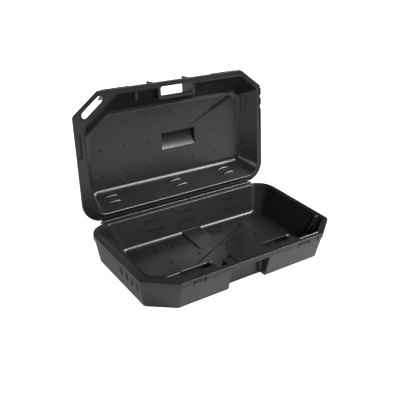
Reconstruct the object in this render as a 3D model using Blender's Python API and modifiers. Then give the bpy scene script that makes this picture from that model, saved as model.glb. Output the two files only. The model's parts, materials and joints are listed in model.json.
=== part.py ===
"""Lockable bait station: a moulded base tub and a hinged, latched lid, standing open.

Units are metres and +Z is up.  The origin is the middle of the base's flat underside,
X runs along the hinge and -Y is the front.  The lid, its latches and their pins are
modelled shut and then swung open about the hinge rod by their parent empty.
"""

import math

import bmesh
import bpy
from mathutils import Matrix, Vector

# Overall sizes
LENGTH = 0.460
DEPTH = 0.263
BASE_HEIGHT = 0.060
LID_HEIGHT = 0.048
CHAMFER_X = 0.057
CHAMFER_Y = 0.043
REAR_RADIUS = 0.042
CORNER_RADIUS = 0.010
WALL = 0.0028
FLOOR = 0.0032
RUNNING_GAP = 0.0004
CLOSED_GAP = 0.0009

# Base walls and rim
RIM_BAND = 0.011
RIM_STEP = 0.002
FOOT_INSET = 0.0105
FOOT_RADIUS = 0.0014
TOP_PLATE = 0.003

# Base cavity: mouth edges and wall slopes
CAVITY_LEFT = -0.2085
CAVITY_RIGHT = 0.218
CAVITY_REAR = 0.1235
CAVITY_FRONT = -0.0945
CAVITY_LEFT_CHAMFER = (0.0275, 0.0191)
CAVITY_RIGHT_CHAMFER = (0.040, 0.034)
CAVITY_SLOPE = 29.0
CAVITY_FRONT_SLOPE = 14.0
CAVITY_FILLET = 0.014
CAVITY_CORNER = 0.034

# Front of the base: finger recess, lock bay, side bay and the two slots behind the rim
RECESS_X = (-0.057, 0.033)
RECESS_BACK = -0.106
BAY_X = (-0.083, -0.061)
BAY_FRONT = -0.120
LIP_GAP_X = (-0.083, -0.042)
LIP_GAP_FRONT = -0.1025
BAY_FLOOR = 0.020
RIGHT_BAY_CORNERS = (
    (0.217, -0.070), (0.112, -0.078), (0.112, -0.1085), (0.118, -0.1185), (0.168, -0.1185), (0.217, -0.0835),
)
RIGHT_BAY_DRAFT = (0.0, 0.0, 0.001, 0.003, 0.008, 0.017)
RIGHT_BAY_RADII = (0.002, 0.002, 0.004, 0.006, 0.008, 0.008)
RIGHT_BAY_FLOOR = 0.024
SLOT_Y = (-0.1096, -0.0968)
SLOT_SPANS = ((-0.150, -0.091), (0.037, 0.098))

# Ribs and marks of the base
GRIP_RIB_Y = (-0.008, -0.030, -0.050, -0.069)
GRIP_RIB_RADIUS = 0.0042
GRIP_RIB_Z = (0.024, 0.052)
GROOVE_X = (-0.144, -0.119, 0.109, 0.134, 0.159)
GROOVE_Z = (0.039, 0.057)
GROOVE_WIDTH = 0.003
GROOVE_DEPTH = 0.0033
FLOOR_MARKS = (
    (-0.110, 0.062), (-0.068, 0.062), (0.053, 0.062), (0.107, 0.062),
    (-0.103, 0.011), (-0.036, 0.011), (0.036, 0.011), (0.116, 0.011),
)
FLOOR_MARK_RADIUS = 0.0036
FLOOR_MARK_DEPTH = 0.0022
SPINE_WIDTH = 0.048
SPINE_HEIGHT = 0.0065
SPINE_FRONT = 0.020
REAR_RIB_X = (-0.084, -0.001, 0.119)
REAR_RIB_Z = (0.0455, 0.0272)
RIB_LENGTH = 0.042
RIB_SIZE = 0.0022
STIFFENER = 0.0025
STIFFENER_CLEARANCE = 0.010
REAR_STIFFENERS_X = (-0.150, -0.075, 0.0, 0.075, 0.150)
SIDE_STIFFENERS_Y = (-0.060, -0.020, 0.020, 0.060, 0.095)
FRONT_STIFFENERS_X = (-0.165, 0.110, 0.165)

# Lid cavity: mouth edges and wall slopes
LID_LEFT = -0.2085
LID_RIGHT = 0.217
LID_REAR = 0.1190
LID_FRONT = -0.1195
LID_LEFT_CHAMFER = (0.077, 0.056)
LID_RIGHT_CHAMFER = (0.045, 0.034)
LID_REAR_SLOPE = 37.0
LID_SIDE_SLOPE = 32.0
LID_LEFT_SLOPE = 18.0
LID_FRONT_SLOPE = 43.0
LID_FILLET = 0.018
LID_BAND = 0.006
BOSS_X = (-0.041, 0.049)
BOSS_BACK = -0.0950
HANDLE_HOLE_X = (-0.034, 0.0415)
HANDLE_HOLE_Y = (-0.1210, -0.1015)
HANDLE_HOLE_RADIUS = 0.004
CARRY_SLOT_CENTRE = (-0.1874, -0.1013)
CARRY_SLOT_LENGTH = 0.056
CARRY_SLOT_WIDTH = 0.015
PANEL_POCKET_X = (-0.014, 0.072)
PANEL_POCKET_Y = (-0.012, 0.025)
PANEL_POCKET_DEPTH = 0.0110
POCKET_PAD = 0.010
CHEEK_FRONT = -0.1285
PANEL_MARK_COLUMNS = (-0.1610, -0.1060, -0.0500, 0.0075, 0.0645, 0.1225)
PANEL_MARK_ROWS = (-0.0545, 0.0003, 0.0555)
PANEL_MARK_SIZE = (0.0019, 0.0042)
PANEL_MARK_DEPTH = 0.0013
CRESCENT_X = ((-0.156, -0.154), (0.004, 0.014), (0.137, 0.146))
CRESCENT_DEPTHS = (0.029, 0.017)
CRESCENT_SIZE = (0.018, 0.0050)
SIDE_RIB_HALF = 0.0032
WALL_RIB_THICKNESS = 0.0042
SCALLOP_Y = (-0.042, -0.065, -0.088)
SCALLOP_RADIUS = 0.0062
SIDE_POCKET_Y = (-0.055, -0.006)
SIDE_POCKET_X = (-0.2285, -0.2180)
SIDE_POCKET_DEPTH = 0.004
SIDE_RIB_DEPTHS = (0.021, 0.032)
SIDE_RIBS = ((-0.0545, 0.0205), (0.0480, 0.008))

# Hinge
HINGE_BACK = 0.0036
HINGE_LIFT = 0.0006
HINGE_SPAN = 0.380
KNUCKLES = 9
KNUCKLE_RADIUS = 0.0032
KNUCKLE_HOLE = 0.00195
KNUCKLE_GAP = 0.0006
ROD_RADIUS = 0.0015
CAP_RADIUS = 0.0030
CAP_LENGTH = 0.0030
OPEN_ANGLE = 98.0

# Latches
LATCH_X = {"left": -0.1320, "right": 0.1300}
LATCH_WIDTH = 0.052
LATCH_PIN_Y = -0.1280
LATCH_PIN_RISE = 0.0115
LATCH_BARREL = 0.0031
LATCH_PLATE = 0.0024
LATCH_OFFSET = 0.0044
LATCH_DROP = 0.0345
LATCH_HOOK_Z = (0.0461, 0.0486)
LATCH_HOOK_REACH = 0.0022
LATCH_OPEN_ANGLE = 210.0
LATCH_PIN_RADIUS = 0.0015
LATCH_PIN_HOLE = 0.0019
LUG_THICKNESS = 0.0030
LUG_GAP = 0.0006

# Lock
LOCK_X = -0.098
LOCK_Z = 0.049
LOCK_HOLE = 0.0044
BARREL_RADIUS = 0.0039
COLLAR_RADIUS = 0.0055
SHAFT_RADIUS = 0.0040
DRIVE_SIZE = 0.0046
DRIVE_HOLE = 0.0052
BARREL_Y = (-0.1306, -0.1250, -0.1230, -0.1078, -0.1018)
CAM_Y = (-0.1075, -0.1045)
CAM_HUB = 0.0062
CAM_REACH = 0.024
CAM_WIDTH = 0.008
CAM_NOSE = 0.006
CAM_NOSE_HEIGHT = 0.005
CLIP_RADIUS = 0.0050
CLIP_Y = (-0.1041, -0.1033)
KEY_SLOT = (0.0052, 0.0012, 0.0018)
CATCH_X = (-0.0930, -0.0870)
CATCH_Y = (-0.1205, -0.1025)
CATCH_Z = (0.0632, 0.0668)

ROUND_SEGMENTS = 20
REAR_SEGMENTS = 8
CORNER_SEGMENTS = 4
FILLET_STEPS = 6

HALF_LENGTH = LENGTH / 2
HALF_DEPTH = DEPTH / 2
HINGE_Y = HALF_DEPTH + HINGE_BACK
HINGE_Z = BASE_HEIGHT + HINGE_LIFT
LID_MOUTH = BASE_HEIGHT + CLOSED_GAP
LID_TOP = LID_MOUTH + LID_HEIGHT
LID_PANEL = LID_TOP - WALL
LATCH_PIN_Z = LID_MOUTH + LATCH_PIN_RISE


# Scene and materials

def clear_scene():
    """Remove every object that the scene starts with."""
    for item in list(bpy.data.objects):
        bpy.data.objects.remove(item, do_unlink=True)


def make_collection(name):
    """Return a new collection in the scene."""
    collection = bpy.data.collections.new(name)
    bpy.context.scene.collection.children.link(collection)
    return collection


def make_material(name, colour, roughness, metallic):
    """Return a plain Principled material."""
    material = bpy.data.materials.new(name)
    material.use_nodes = True
    shader = material.node_tree.nodes["Principled BSDF"]
    shader.inputs["Base Color"].default_value = (*colour, 1.0)
    shader.inputs["Roughness"].default_value = roughness
    shader.inputs["Metallic"].default_value = metallic
    return material


def add_object(name, mesh_data, collection):
    """Write a bmesh into a new object of the collection."""
    bmesh.ops.recalc_face_normals(mesh_data, faces=mesh_data.faces)
    mesh = bpy.data.meshes.new(name)
    mesh_data.to_mesh(mesh)
    mesh_data.free()
    item = bpy.data.objects.new(name, mesh)
    collection.objects.link(item)
    return item


def as_cutter(item):
    """Show a cutter as wire and keep it out of renders."""
    item.display_type = "WIRE"
    item.hide_render = True
    return item


def apply_boolean(target, tool, operation, solver="EXACT"):
    """Add a Boolean of one object to another."""
    modifier = target.modifiers.new(tool.name, "BOOLEAN")
    modifier.operation = operation
    modifier.solver = solver
    modifier.object = tool
    as_cutter(tool)


def smooth(item, angle=35.0):
    """Shade a round piece smooth, keeping its sharp edges."""
    item.data.shade_smooth()
    item.data.set_sharp_from_angle(angle=math.radians(angle))


# Outlines

def arc_points(centre, radius, start, end, segments):
    """Points along an arc, both ends included."""
    points = []
    for step in range(segments + 1):
        angle = start + (end - start) * step / segments
        points.append((centre[0] + radius * math.cos(angle), centre[1] + radius * math.sin(angle)))
    return points


def offset_corners(corners, insets):
    """Move each edge of a counter-clockwise outline inwards by its own inset."""
    count = len(corners)
    lines = []
    for index in range(count):
        start = Vector(corners[index])
        end = Vector(corners[(index + 1) % count])
        along = (end - start).normalized()
        inward = Vector((-along.y, along.x))
        lines.append((start + inward * insets[index], along))
    moved = []
    for index in range(count):
        point_a, along_a = lines[index - 1]
        point_b, along_b = lines[index]
        gap = point_b - point_a
        distance = gap.cross(along_b) / along_a.cross(along_b)
        moved.append(tuple(point_a + along_a * distance))
    return moved


def round_corners(corners, radii, segments):
    """Round every corner of a counter-clockwise convex outline."""
    count = len(corners)
    outline = []
    for index in range(count):
        corner = Vector(corners[index])
        before = (Vector(corners[index - 1]) - corner).normalized()
        after = (Vector(corners[(index + 1) % count]) - corner).normalized()
        half = before.angle(after) / 2
        centre = corner + (before + after).normalized() * (radii[index] / math.sin(half))
        reach = radii[index] / math.tan(half)
        first = corner + before * reach - centre
        last = corner + after * reach - centre
        start = math.atan2(first.y, first.x)
        sweep = (math.atan2(last.y, last.x) - start) % (2 * math.pi)
        outline.extend(arc_points(centre, radii[index], start, start + sweep, segments[index]))
    return outline


def case_corners(left, right, front, rear, left_chamfer, right_chamfer):
    """Corners of the case outline: square behind, chamfered in front."""
    return [
        (right, rear),
        (left, rear),
        (left, front + left_chamfer[1]),
        (left + left_chamfer[0], front),
        (right - right_chamfer[0], front),
        (right, front + right_chamfer[1]),
    ]


def case_outline(corners, insets, rear_radius, corner_radius):
    """Rounded outline of the case after moving each wall inwards."""
    radii = [rear_radius, rear_radius] + [corner_radius] * 4
    segments = [REAR_SEGMENTS, REAR_SEGMENTS] + [CORNER_SEGMENTS] * 4
    return round_corners(offset_corners(corners, insets), radii, segments)


def outer_outline(inset):
    """Outline of the case's outside, moved inwards evenly."""
    chamfer = (CHAMFER_X, CHAMFER_Y)
    corners = case_corners(-HALF_LENGTH, HALF_LENGTH, -HALF_DEPTH, HALF_DEPTH, chamfer, chamfer)
    return case_outline(corners, [inset] * 6, REAR_RADIUS - inset * 0.6, CORNER_RADIUS)


# Solids

def loft(name, rings, collection):
    """Closed solid through flat outlines with the same number of points."""
    mesh = bmesh.new()
    loops = [[mesh.verts.new((x, y, z)) for x, y in outline] for z, outline in rings]
    count = len(loops[0])
    for lower, upper in zip(loops, loops[1:]):
        for index in range(count):
            after = (index + 1) % count
            mesh.faces.new((lower[index], lower[after], upper[after], upper[index]))
    mesh.faces.new(loops[0])
    mesh.faces.new(loops[-1])
    return add_object(name, mesh, collection)


def add_box(mesh, x_span, y_span, z_span):
    """Add a box between three spans to a bmesh."""
    centre = Vector((sum(x_span) / 2, sum(y_span) / 2, sum(z_span) / 2))
    size = (x_span[1] - x_span[0], y_span[1] - y_span[0], z_span[1] - z_span[0], 1.0)
    bmesh.ops.create_cube(mesh, size=1.0, matrix=Matrix.Translation(centre) @ Matrix.Diagonal(size))


def add_cylinder(mesh, centre, radius, length, axis, segments=ROUND_SEGMENTS, stretch=(1.0, 1.0)):
    """Add a cylinder along an axis to a bmesh."""
    turns = {"X": Matrix.Rotation(math.pi / 2, 4, "Y"), "Y": Matrix.Rotation(math.pi / 2, 4, "X")}
    turn = turns.get(axis, Matrix.Identity(4))
    scale = Matrix.Diagonal((stretch[0], stretch[1], 1.0, 1.0))
    bmesh.ops.create_cone(
        mesh,
        cap_ends=True,
        segments=segments,
        radius1=radius,
        radius2=radius,
        depth=length,
        matrix=Matrix.Translation(Vector(centre)) @ turn @ scale,
    )


def boxes(name, spans, collection):
    """One object of separate boxes."""
    mesh = bmesh.new()
    for x_span, y_span, z_span in spans:
        add_box(mesh, x_span, y_span, z_span)
    return add_object(name, mesh, collection)


def slope_inset(depth, full_depth, slope, fillet):
    """How far a sloped wall with a fillet at its foot has come in at a depth."""
    angle = math.radians(slope)
    foot = full_depth * math.tan(angle)
    tangent = fillet * math.tan((math.pi / 2 - angle) / 2)
    if depth <= full_depth - tangent * math.cos(angle):
        return depth * math.tan(angle)
    rise = depth - (full_depth - fillet)
    return foot + tangent - math.sqrt(max(fillet * fillet - rise * rise, 0.0))


def dish_depths(full_depth, slope, fillet):
    """Depths of a dish's rings, close together round its fillet."""
    depths = [-0.002]
    start = math.radians(slope)
    for step in range(FILLET_STEPS + 1):
        angle = start + (math.pi / 2 - start) * step / FILLET_STEPS
        depths.append(full_depth - fillet + fillet * math.sin(angle))
    return depths


def dish_rings(corners, slopes, mouth, full_depth, fillet, corner, down, swell=0.0):
    """Rings of a dish: sloped walls and a rounded foot, opening down or up."""
    sign = -1.0 if down else 1.0
    rings = []
    for depth in dish_depths(full_depth, min(slopes), fillet):
        insets = [slope_inset(depth, full_depth, slope, fillet) - swell for slope in slopes]
        rear = max(corner - 0.45 * max(insets), 0.008)
        front = max(CORNER_RADIUS * 1.2 + 0.2 * max(insets), 0.008)
        rings.append((mouth + sign * depth, case_outline(corners, insets, rear, front)))
    return rings


# Base

def base_corners():
    """Corners of the base cavity's mouth."""
    return case_corners(
        CAVITY_LEFT, CAVITY_RIGHT, CAVITY_FRONT, CAVITY_REAR, CAVITY_LEFT_CHAMFER, CAVITY_RIGHT_CHAMFER
    )


def base_slopes():
    """Wall slopes round the base cavity, from the rear wall on."""
    side = CAVITY_SLOPE
    return [side, side, side * 0.8, CAVITY_FRONT_SLOPE, side * 0.8, side]


def wall_inset(height):
    """How far the base's outer wall has drafted in at a height."""
    band_foot = BASE_HEIGHT - RIM_BAND
    return FOOT_INSET - (FOOT_INSET - RIM_STEP) * min(height, band_foot) / band_foot


def make_base_outside(collection):
    """The base's outer form: rounded foot, drafted wall and rim band."""
    rings = []
    for step in range(4):
        angle = math.pi / 2 * step / 3
        height = FOOT_RADIUS * (1 - math.cos(angle))
        rings.append((height, outer_outline(wall_inset(height) + FOOT_RADIUS * (1 - math.sin(angle)))))
    band_foot = BASE_HEIGHT - RIM_BAND
    rings.append((band_foot, outer_outline(RIM_STEP)))
    rings.append((band_foot + 0.0006, outer_outline(0.0)))
    rings.append((BASE_HEIGHT - 0.0008, outer_outline(0.0)))
    rings.append((BASE_HEIGHT, outer_outline(0.0008)))
    return loft("base_tub", rings, collection)


def make_dish_keep(cutters):
    """Solid left round the cavity when the space under the rim is hollowed."""
    rings = dish_rings(
        base_corners(), base_slopes(), BASE_HEIGHT, BASE_HEIGHT, CAVITY_FILLET, CAVITY_CORNER,
        True, WALL * 1.1,
    )
    rings.append((-0.004, rings[-1][1]))
    return loft("dish_keep", rings, cutters)


def make_hollow(cutters):
    """Cutter for the space between the outer wall and the dish, open below."""
    band_foot = BASE_HEIGHT - RIM_BAND
    rings = [(-0.003, outer_outline(wall_inset(0.0) + WALL))]
    rings.append((band_foot, outer_outline(RIM_STEP + WALL)))
    rings.append((BASE_HEIGHT - TOP_PLATE, outer_outline(RIM_STEP + WALL)))
    hollow = loft("hollow_cutter", rings, cutters)
    apply_boolean(hollow, make_dish_keep(cutters), "DIFFERENCE", "MANIFOLD")
    apply_boolean(hollow, make_front_keeps(cutters), "DIFFERENCE", "MANIFOLD")
    apply_boolean(hollow, make_stiffeners(cutters), "DIFFERENCE", "MANIFOLD")
    return hollow


def make_front_keeps(cutters):
    """Walls left round the finger recess and the two bays."""
    top = BASE_HEIGHT - TOP_PLATE / 2
    spans = [
        ((RECESS_X[0] - WALL, RECESS_X[1] + WALL), (-0.150, RECESS_BACK + WALL), (-0.005, top)),
    ]
    keep = boxes("recess_keep", spans, cutters)
    bay = boxes("bay_keep", [
        ((BAY_X[0] - WALL, BAY_X[1] + WALL), (BAY_FRONT - WALL, -0.085), (BAY_FLOOR - WALL, top)),
    ], cutters)
    right = loft("right_bay_keep", [
        (RIGHT_BAY_FLOOR - WALL, right_bay_outline(0.0, WALL)),
        (top, right_bay_outline(1.0, WALL)),
    ], cutters)
    apply_boolean(keep, bay, "UNION")
    apply_boolean(keep, right, "UNION")
    return keep


def make_stiffeners(cutters):
    """Ribs left standing in the hollow between the two walls."""
    heights = (STIFFENER_CLEARANCE, BASE_HEIGHT)
    half = STIFFENER / 2
    spans = []
    for x in REAR_STIFFENERS_X:
        spans.append(((x - half, x + half), (0.060, HALF_DEPTH), heights))
    for y in SIDE_STIFFENERS_Y:
        spans.append(((-HALF_LENGTH, -0.170), (y - half, y + half), heights))
        spans.append(((0.170, HALF_LENGTH), (y - half, y + half), heights))
    for x in FRONT_STIFFENERS_X:
        spans.append(((x - half, x + half), (-HALF_DEPTH, -0.070), heights))
    return boxes("stiffener_keep", spans, cutters)


def make_cavity(cutters):
    """Cutter for the dish that holds the bait, with its raised rear spine left in."""
    depth = BASE_HEIGHT - FLOOR
    rings = dish_rings(
        base_corners(), base_slopes(), BASE_HEIGHT, depth, CAVITY_FILLET, CAVITY_CORNER, True
    )
    cavity = loft("cavity_cutter", rings, cutters)
    apply_boolean(cavity, make_spine(cutters), "DIFFERENCE")
    apply_boolean(cavity, make_rear_ribs(cutters), "DIFFERENCE")
    return cavity


def make_spine(cutters):
    """Low ramp along the middle of the floor, highest at the rear wall."""
    half = SPINE_WIDTH / 2
    top = FLOOR + SPINE_HEIGHT
    mesh = bmesh.new()
    add_box(mesh, (-half, half), (SPINE_FRONT, 0.120), (-0.010, top))
    for vertex in mesh.verts:
        if vertex.co.z > 0 and vertex.co.y < SPINE_FRONT + 0.001:
            vertex.co.z = FLOOR - 0.0002
    long_edges = [
        edge for edge in mesh.edges
        if edge.verts[0].co.z > 0 and edge.verts[1].co.z > 0 and abs(edge.verts[0].co.x - edge.verts[1].co.x) < half
    ]
    bmesh.ops.bevel(mesh, geom=long_edges, offset=0.005, segments=3, profile=0.5, affect="EDGES")
    return add_object("spine_keep", mesh, cutters)


def make_rear_ribs(cutters):
    """Pairs of level ribs on the cavity's rear wall."""
    slope = math.tan(math.radians(CAVITY_SLOPE))
    spans = []
    for x in REAR_RIB_X:
        for z in REAR_RIB_Z:
            face = CAVITY_REAR - (BASE_HEIGHT - z) * slope
            spans.append((
                (x - RIB_LENGTH / 2, x + RIB_LENGTH / 2),
                (face - RIB_SIZE * 0.6, face + 0.006),
                (z - RIB_SIZE / 2, z + RIB_SIZE / 2),
            ))
    return boxes("rear_rib_keep", spans, cutters)


def make_recess(cutters):
    """Cutter for the finger recess under the rim at the middle of the front."""
    band_foot = BASE_HEIGHT - RIM_BAND
    spans = [(RECESS_X, (-0.150, RECESS_BACK), (-0.004, band_foot))]
    recess = boxes("recess_cutter", spans, cutters)
    behind_band = (-HALF_DEPTH + RIM_STEP + WALL, RECESS_BACK)
    upper = boxes("recess_top_cutter", [(RECESS_X, behind_band, (0.040, BASE_HEIGHT - 0.0035))], cutters)
    apply_boolean(recess, upper, "UNION")
    modifier = recess.modifiers.new("rounding", "BEVEL")
    modifier.width = 0.004
    modifier.segments = 3
    modifier.limit_method = "ANGLE"
    return recess


def make_bays(cutters):
    """Cutter for the lock bay, the gap in the lip and the right-hand bay."""
    top = BASE_HEIGHT + 0.002
    bays = boxes("bay_cutter", [(BAY_X, (BAY_FRONT, -0.086), (BAY_FLOOR, top))], cutters)
    gap = boxes("lip_gap_cutter", [(LIP_GAP_X, (LIP_GAP_FRONT, -0.085), (BAY_FLOOR, top + 0.001))], cutters)
    apply_boolean(bays, gap, "UNION")
    return bays


def right_bay_outline(share, swell):
    """Outline of the right-hand bay between its floor (0) and the top face (1)."""
    insets = [draft * (1 - share) - swell for draft in RIGHT_BAY_DRAFT]
    corners = offset_corners([Vector(corner) for corner in RIGHT_BAY_CORNERS], insets)
    return round_corners(corners, RIGHT_BAY_RADII, [2, 2, 4, 4, 4, 4])


def make_right_bay(cutters):
    """Cutter for the part of the cavity that runs forward on the right."""
    return loft("right_bay_cutter", [
        (RIGHT_BAY_FLOOR, right_bay_outline(0.0, 0.0)),
        (BASE_HEIGHT, right_bay_outline(1.0, 0.0)),
        (BASE_HEIGHT + 0.002, right_bay_outline(1.0, 0.0)),
    ], cutters)


def make_slots(cutters):
    """Cutter for the two long slots behind the front rim."""
    spans = [(span, SLOT_Y, (BASE_HEIGHT - 0.010, BASE_HEIGHT + 0.002)) for span in SLOT_SPANS]
    return boxes("slot_cutter", spans, cutters)


def make_grooves(cutters):
    """Cutter for the upright grooves in the front rim."""
    half = GROOVE_WIDTH / 2
    depth = -HALF_DEPTH + GROOVE_DEPTH
    spans = [((x - half, x + half), (-0.140, depth), GROOVE_Z) for x in GROOVE_X]
    return boxes("groove_cutter", spans, cutters)


def make_floor_marks(cutters):
    """Cutter for the round knock-outs in the floor."""
    mesh = bmesh.new()
    for x, y in FLOOR_MARKS:
        centre = (x, y, FLOOR - FLOOR_MARK_DEPTH + 0.005)
        add_cylinder(mesh, centre, FLOOR_MARK_RADIUS, 0.010, "Z", 12)
    return add_object("floor_mark_cutter", mesh, cutters)


def make_grip_ribs(cutters):
    """Upright half-round ribs on both ends of the base."""
    mesh = bmesh.new()
    lean = math.atan((FOOT_INSET - RIM_STEP) / (BASE_HEIGHT - RIM_BAND))
    middle = sum(GRIP_RIB_Z) / 2
    length = GRIP_RIB_Z[1] - GRIP_RIB_Z[0]
    for side in (-1, 1):
        for y in GRIP_RIB_Y:
            x = side * (HALF_LENGTH - wall_inset(middle) - GRIP_RIB_RADIUS * 0.45)
            place = Matrix.Translation((x, y, middle)) @ Matrix.Rotation(side * lean, 4, "Y")
            bmesh.ops.create_cone(
                mesh,
                cap_ends=True,
                segments=12,
                radius1=GRIP_RIB_RADIUS,
                radius2=GRIP_RIB_RADIUS,
                depth=length,
                matrix=place,
            )
    return add_object("grip_rib_tool", mesh, cutters)


def knuckle_spans(owner):
    """X spans of the hinge knuckles of the base (0) or the lid (1)."""
    pitch = HINGE_SPAN / KNUCKLES
    spans = []
    for index in range(owner, KNUCKLES, 2):
        start = -HINGE_SPAN / 2 + index * pitch
        spans.append((start + KNUCKLE_GAP / 2, start + pitch - KNUCKLE_GAP / 2))
    return spans


def make_knuckles(name, owner, cutters):
    """Hinge knuckles with the webs that join them to their rim."""
    mesh = bmesh.new()
    for start, end in knuckle_spans(owner):
        add_cylinder(mesh, ((start + end) / 2, HINGE_Y, HINGE_Z), KNUCKLE_RADIUS, end - start, "X", 16)
    tool = add_object(name, mesh, cutters)
    if owner == 0:
        heights = (BASE_HEIGHT - 0.0085, BASE_HEIGHT - 0.0004)
    else:
        heights = (LID_MOUTH + 0.0004, LID_MOUTH + 0.0055)
    webs = []
    for start, end in knuckle_spans(owner):
        webs.append(((start, end), (HALF_DEPTH - 0.003, HINGE_Y + 0.0006), heights))
    apply_boolean(tool, boxes(name + "_web", webs, cutters), "UNION")
    return tool


def make_rod_hole(name, cutters):
    """Cutter for the hinge rod's bore."""
    mesh = bmesh.new()
    add_cylinder(mesh, (0, HINGE_Y, HINGE_Z), KNUCKLE_HOLE, LENGTH, "X", 16)
    return add_object(name, mesh, cutters)


def make_lock_hole(cutters):
    """Cutter for the lock barrel's hole through the front wall."""
    mesh = bmesh.new()
    add_cylinder(mesh, (LOCK_X, -0.130, LOCK_Z), LOCK_HOLE, 0.016, "Y", 16)
    return add_object("lock_hole_cutter", mesh, cutters)


def make_base(parts, cutters):
    """The base tub with everything that is moulded into it."""
    base = make_base_outside(parts)
    apply_boolean(base, make_grip_ribs(cutters), "UNION")
    apply_boolean(base, make_knuckles("base_knuckle_tool", 0, cutters), "UNION")
    apply_boolean(base, make_hollow(cutters), "DIFFERENCE", "MANIFOLD")
    apply_boolean(base, make_cavity(cutters), "DIFFERENCE")
    apply_boolean(base, make_right_bay(cutters), "DIFFERENCE")
    apply_boolean(base, make_bays(cutters), "DIFFERENCE")
    apply_boolean(base, make_recess(cutters), "DIFFERENCE")
    apply_boolean(base, make_slots(cutters), "DIFFERENCE")
    apply_boolean(base, make_grooves(cutters), "DIFFERENCE")
    apply_boolean(base, make_floor_marks(cutters), "DIFFERENCE")
    apply_boolean(base, make_lock_hole(cutters), "DIFFERENCE")
    apply_boolean(base, make_rod_hole("base_rod_cutter", cutters), "DIFFERENCE")
    smooth(base)
    return base


# Lid, modelled shut

def lid_corners():
    """Corners of the lid cavity's mouth."""
    return case_corners(LID_LEFT, LID_RIGHT, LID_FRONT, LID_REAR, LID_LEFT_CHAMFER, LID_RIGHT_CHAMFER)


def lid_slopes():
    """Wall slopes round the lid cavity, from the rear wall on."""
    return [
        LID_REAR_SLOPE, LID_LEFT_SLOPE, LID_SIDE_SLOPE, LID_FRONT_SLOPE, LID_SIDE_SLOPE, LID_SIDE_SLOPE
    ]


def lid_face_depth():
    """Depth from the mouth to the inside of the panel."""
    return LID_HEIGHT - WALL


def make_lid_outside(collection, cutters):
    """The lid's outer form: rim band and the skin over its dish."""
    rings = [
        (LID_MOUTH, outer_outline(0.0008)),
        (LID_MOUTH + 0.0008, outer_outline(0.0)),
        (LID_MOUTH + LID_BAND - 0.0008, outer_outline(0.0)),
        (LID_MOUTH + LID_BAND, outer_outline(0.0008)),
    ]
    lid = loft("lid_shell", rings, collection)
    dish = dish_rings(
        lid_corners(), lid_slopes(), LID_MOUTH + 0.0022, LID_HEIGHT - 0.0022, LID_FILLET, REAR_RADIUS - 0.012,
        False, WALL * 1.15,
    )
    apply_boolean(lid, loft("lid_dish_tool", dish, cutters), "UNION")
    return lid


def make_lid_cavity(cutters):
    """Cutter for the inside of the lid, stepped round the handle."""
    rings = dish_rings(
        lid_corners(), lid_slopes(), LID_MOUTH, lid_face_depth(), LID_FILLET, REAR_RADIUS - 0.012, False
    )
    cavity = loft("lid_cavity_cutter", rings, cutters)
    boss = boxes("handle_boss_keep", [(BOSS_X, (-0.150, BOSS_BACK), (0.050, 0.130))], cutters)
    apply_boolean(cavity, boss, "DIFFERENCE")
    return cavity


def make_catch(cutters):
    """Ledge inside the lid that the lock cam turns over."""
    return boxes("catch_tool", [(CATCH_X, CATCH_Y, CATCH_Z)], cutters)


def add_wall_rib(mesh, centre, half_length, half_height, turn):
    """Add a lens-shaped rib that stands on a sloped wall."""
    scale = Matrix.Diagonal((half_length, half_height, 1.0, 1.0))
    bmesh.ops.create_cone(
        mesh,
        cap_ends=True,
        segments=14,
        radius1=1.0,
        radius2=0.82,
        depth=WALL_RIB_THICKNESS,
        matrix=Matrix.Translation(centre) @ turn @ scale,
    )


def make_crescents(cutters):
    """Pairs of half-moon ribs on the lid's rear wall."""
    mesh = bmesh.new()
    slope = math.radians(LID_REAR_SLOPE)
    turn = Matrix.Rotation(math.pi / 2 + slope, 4, "X")
    for pair in CRESCENT_X:
        for x, depth in zip(pair, CRESCENT_DEPTHS):
            centre = Vector((x, LID_REAR - depth * math.tan(slope), LID_MOUTH + depth))
            add_wall_rib(mesh, centre, CRESCENT_SIZE[0], CRESCENT_SIZE[1], turn)
    return add_object("crescent_tool", mesh, cutters)


def make_side_ribs(cutters):
    """Long and short rib pairs on the lid's right wall."""
    mesh = bmesh.new()
    slope = math.radians(LID_SIDE_SLOPE)
    turn = Matrix.Rotation(-math.pi / 2 - slope, 4, "Y") @ Matrix.Rotation(math.pi / 2, 4, "Z")
    for depth in SIDE_RIB_DEPTHS:
        for y, half in SIDE_RIBS:
            centre = Vector((LID_RIGHT - depth * math.tan(slope), y, LID_MOUTH + depth))
            add_wall_rib(mesh, centre, half, SIDE_RIB_HALF, turn)
    return add_object("side_rib_tool", mesh, cutters)


def make_handle_recess(cutters):
    """Cutter for the recess in front of the handle boss, outside the lid."""
    x_span = (BOSS_X[0] + WALL, BOSS_X[1] - WALL)
    return boxes("handle_recess_cutter", [(
        x_span, (-0.150, BOSS_BACK - WALL), (LID_MOUTH + LID_BAND, LID_TOP + 0.010),
    )], cutters)


def make_handle_cheeks(cutters):
    """Upright cheeks on both sides of the handle, outside the lid."""
    heights = (LID_MOUTH + LID_BAND - 0.0015, LID_TOP - 0.0005)
    spans = []
    for x in (BOSS_X[0], BOSS_X[1] - WALL):
        spans.append(((x, x + WALL), (CHEEK_FRONT, -0.070), heights))
    return boxes("handle_cheek_tool", spans, cutters)


def rounded_slot(name, centre, length, width, angle, z_span, cutters):
    """Cutter with round ends for a slot through the rim."""
    radius = width / 2
    reach = length / 2 - radius
    points = arc_points((reach, 0.0), radius, -math.pi / 2, math.pi / 2, 8)
    points += arc_points((-reach, 0.0), radius, math.pi / 2, 3 * math.pi / 2, 8)
    turn = Matrix.Rotation(angle, 2)
    outline = [tuple(turn @ Vector(point) + Vector(centre)) for point in points]
    return loft(name, [(z_span[0], outline), (z_span[1], outline)], cutters)


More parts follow.
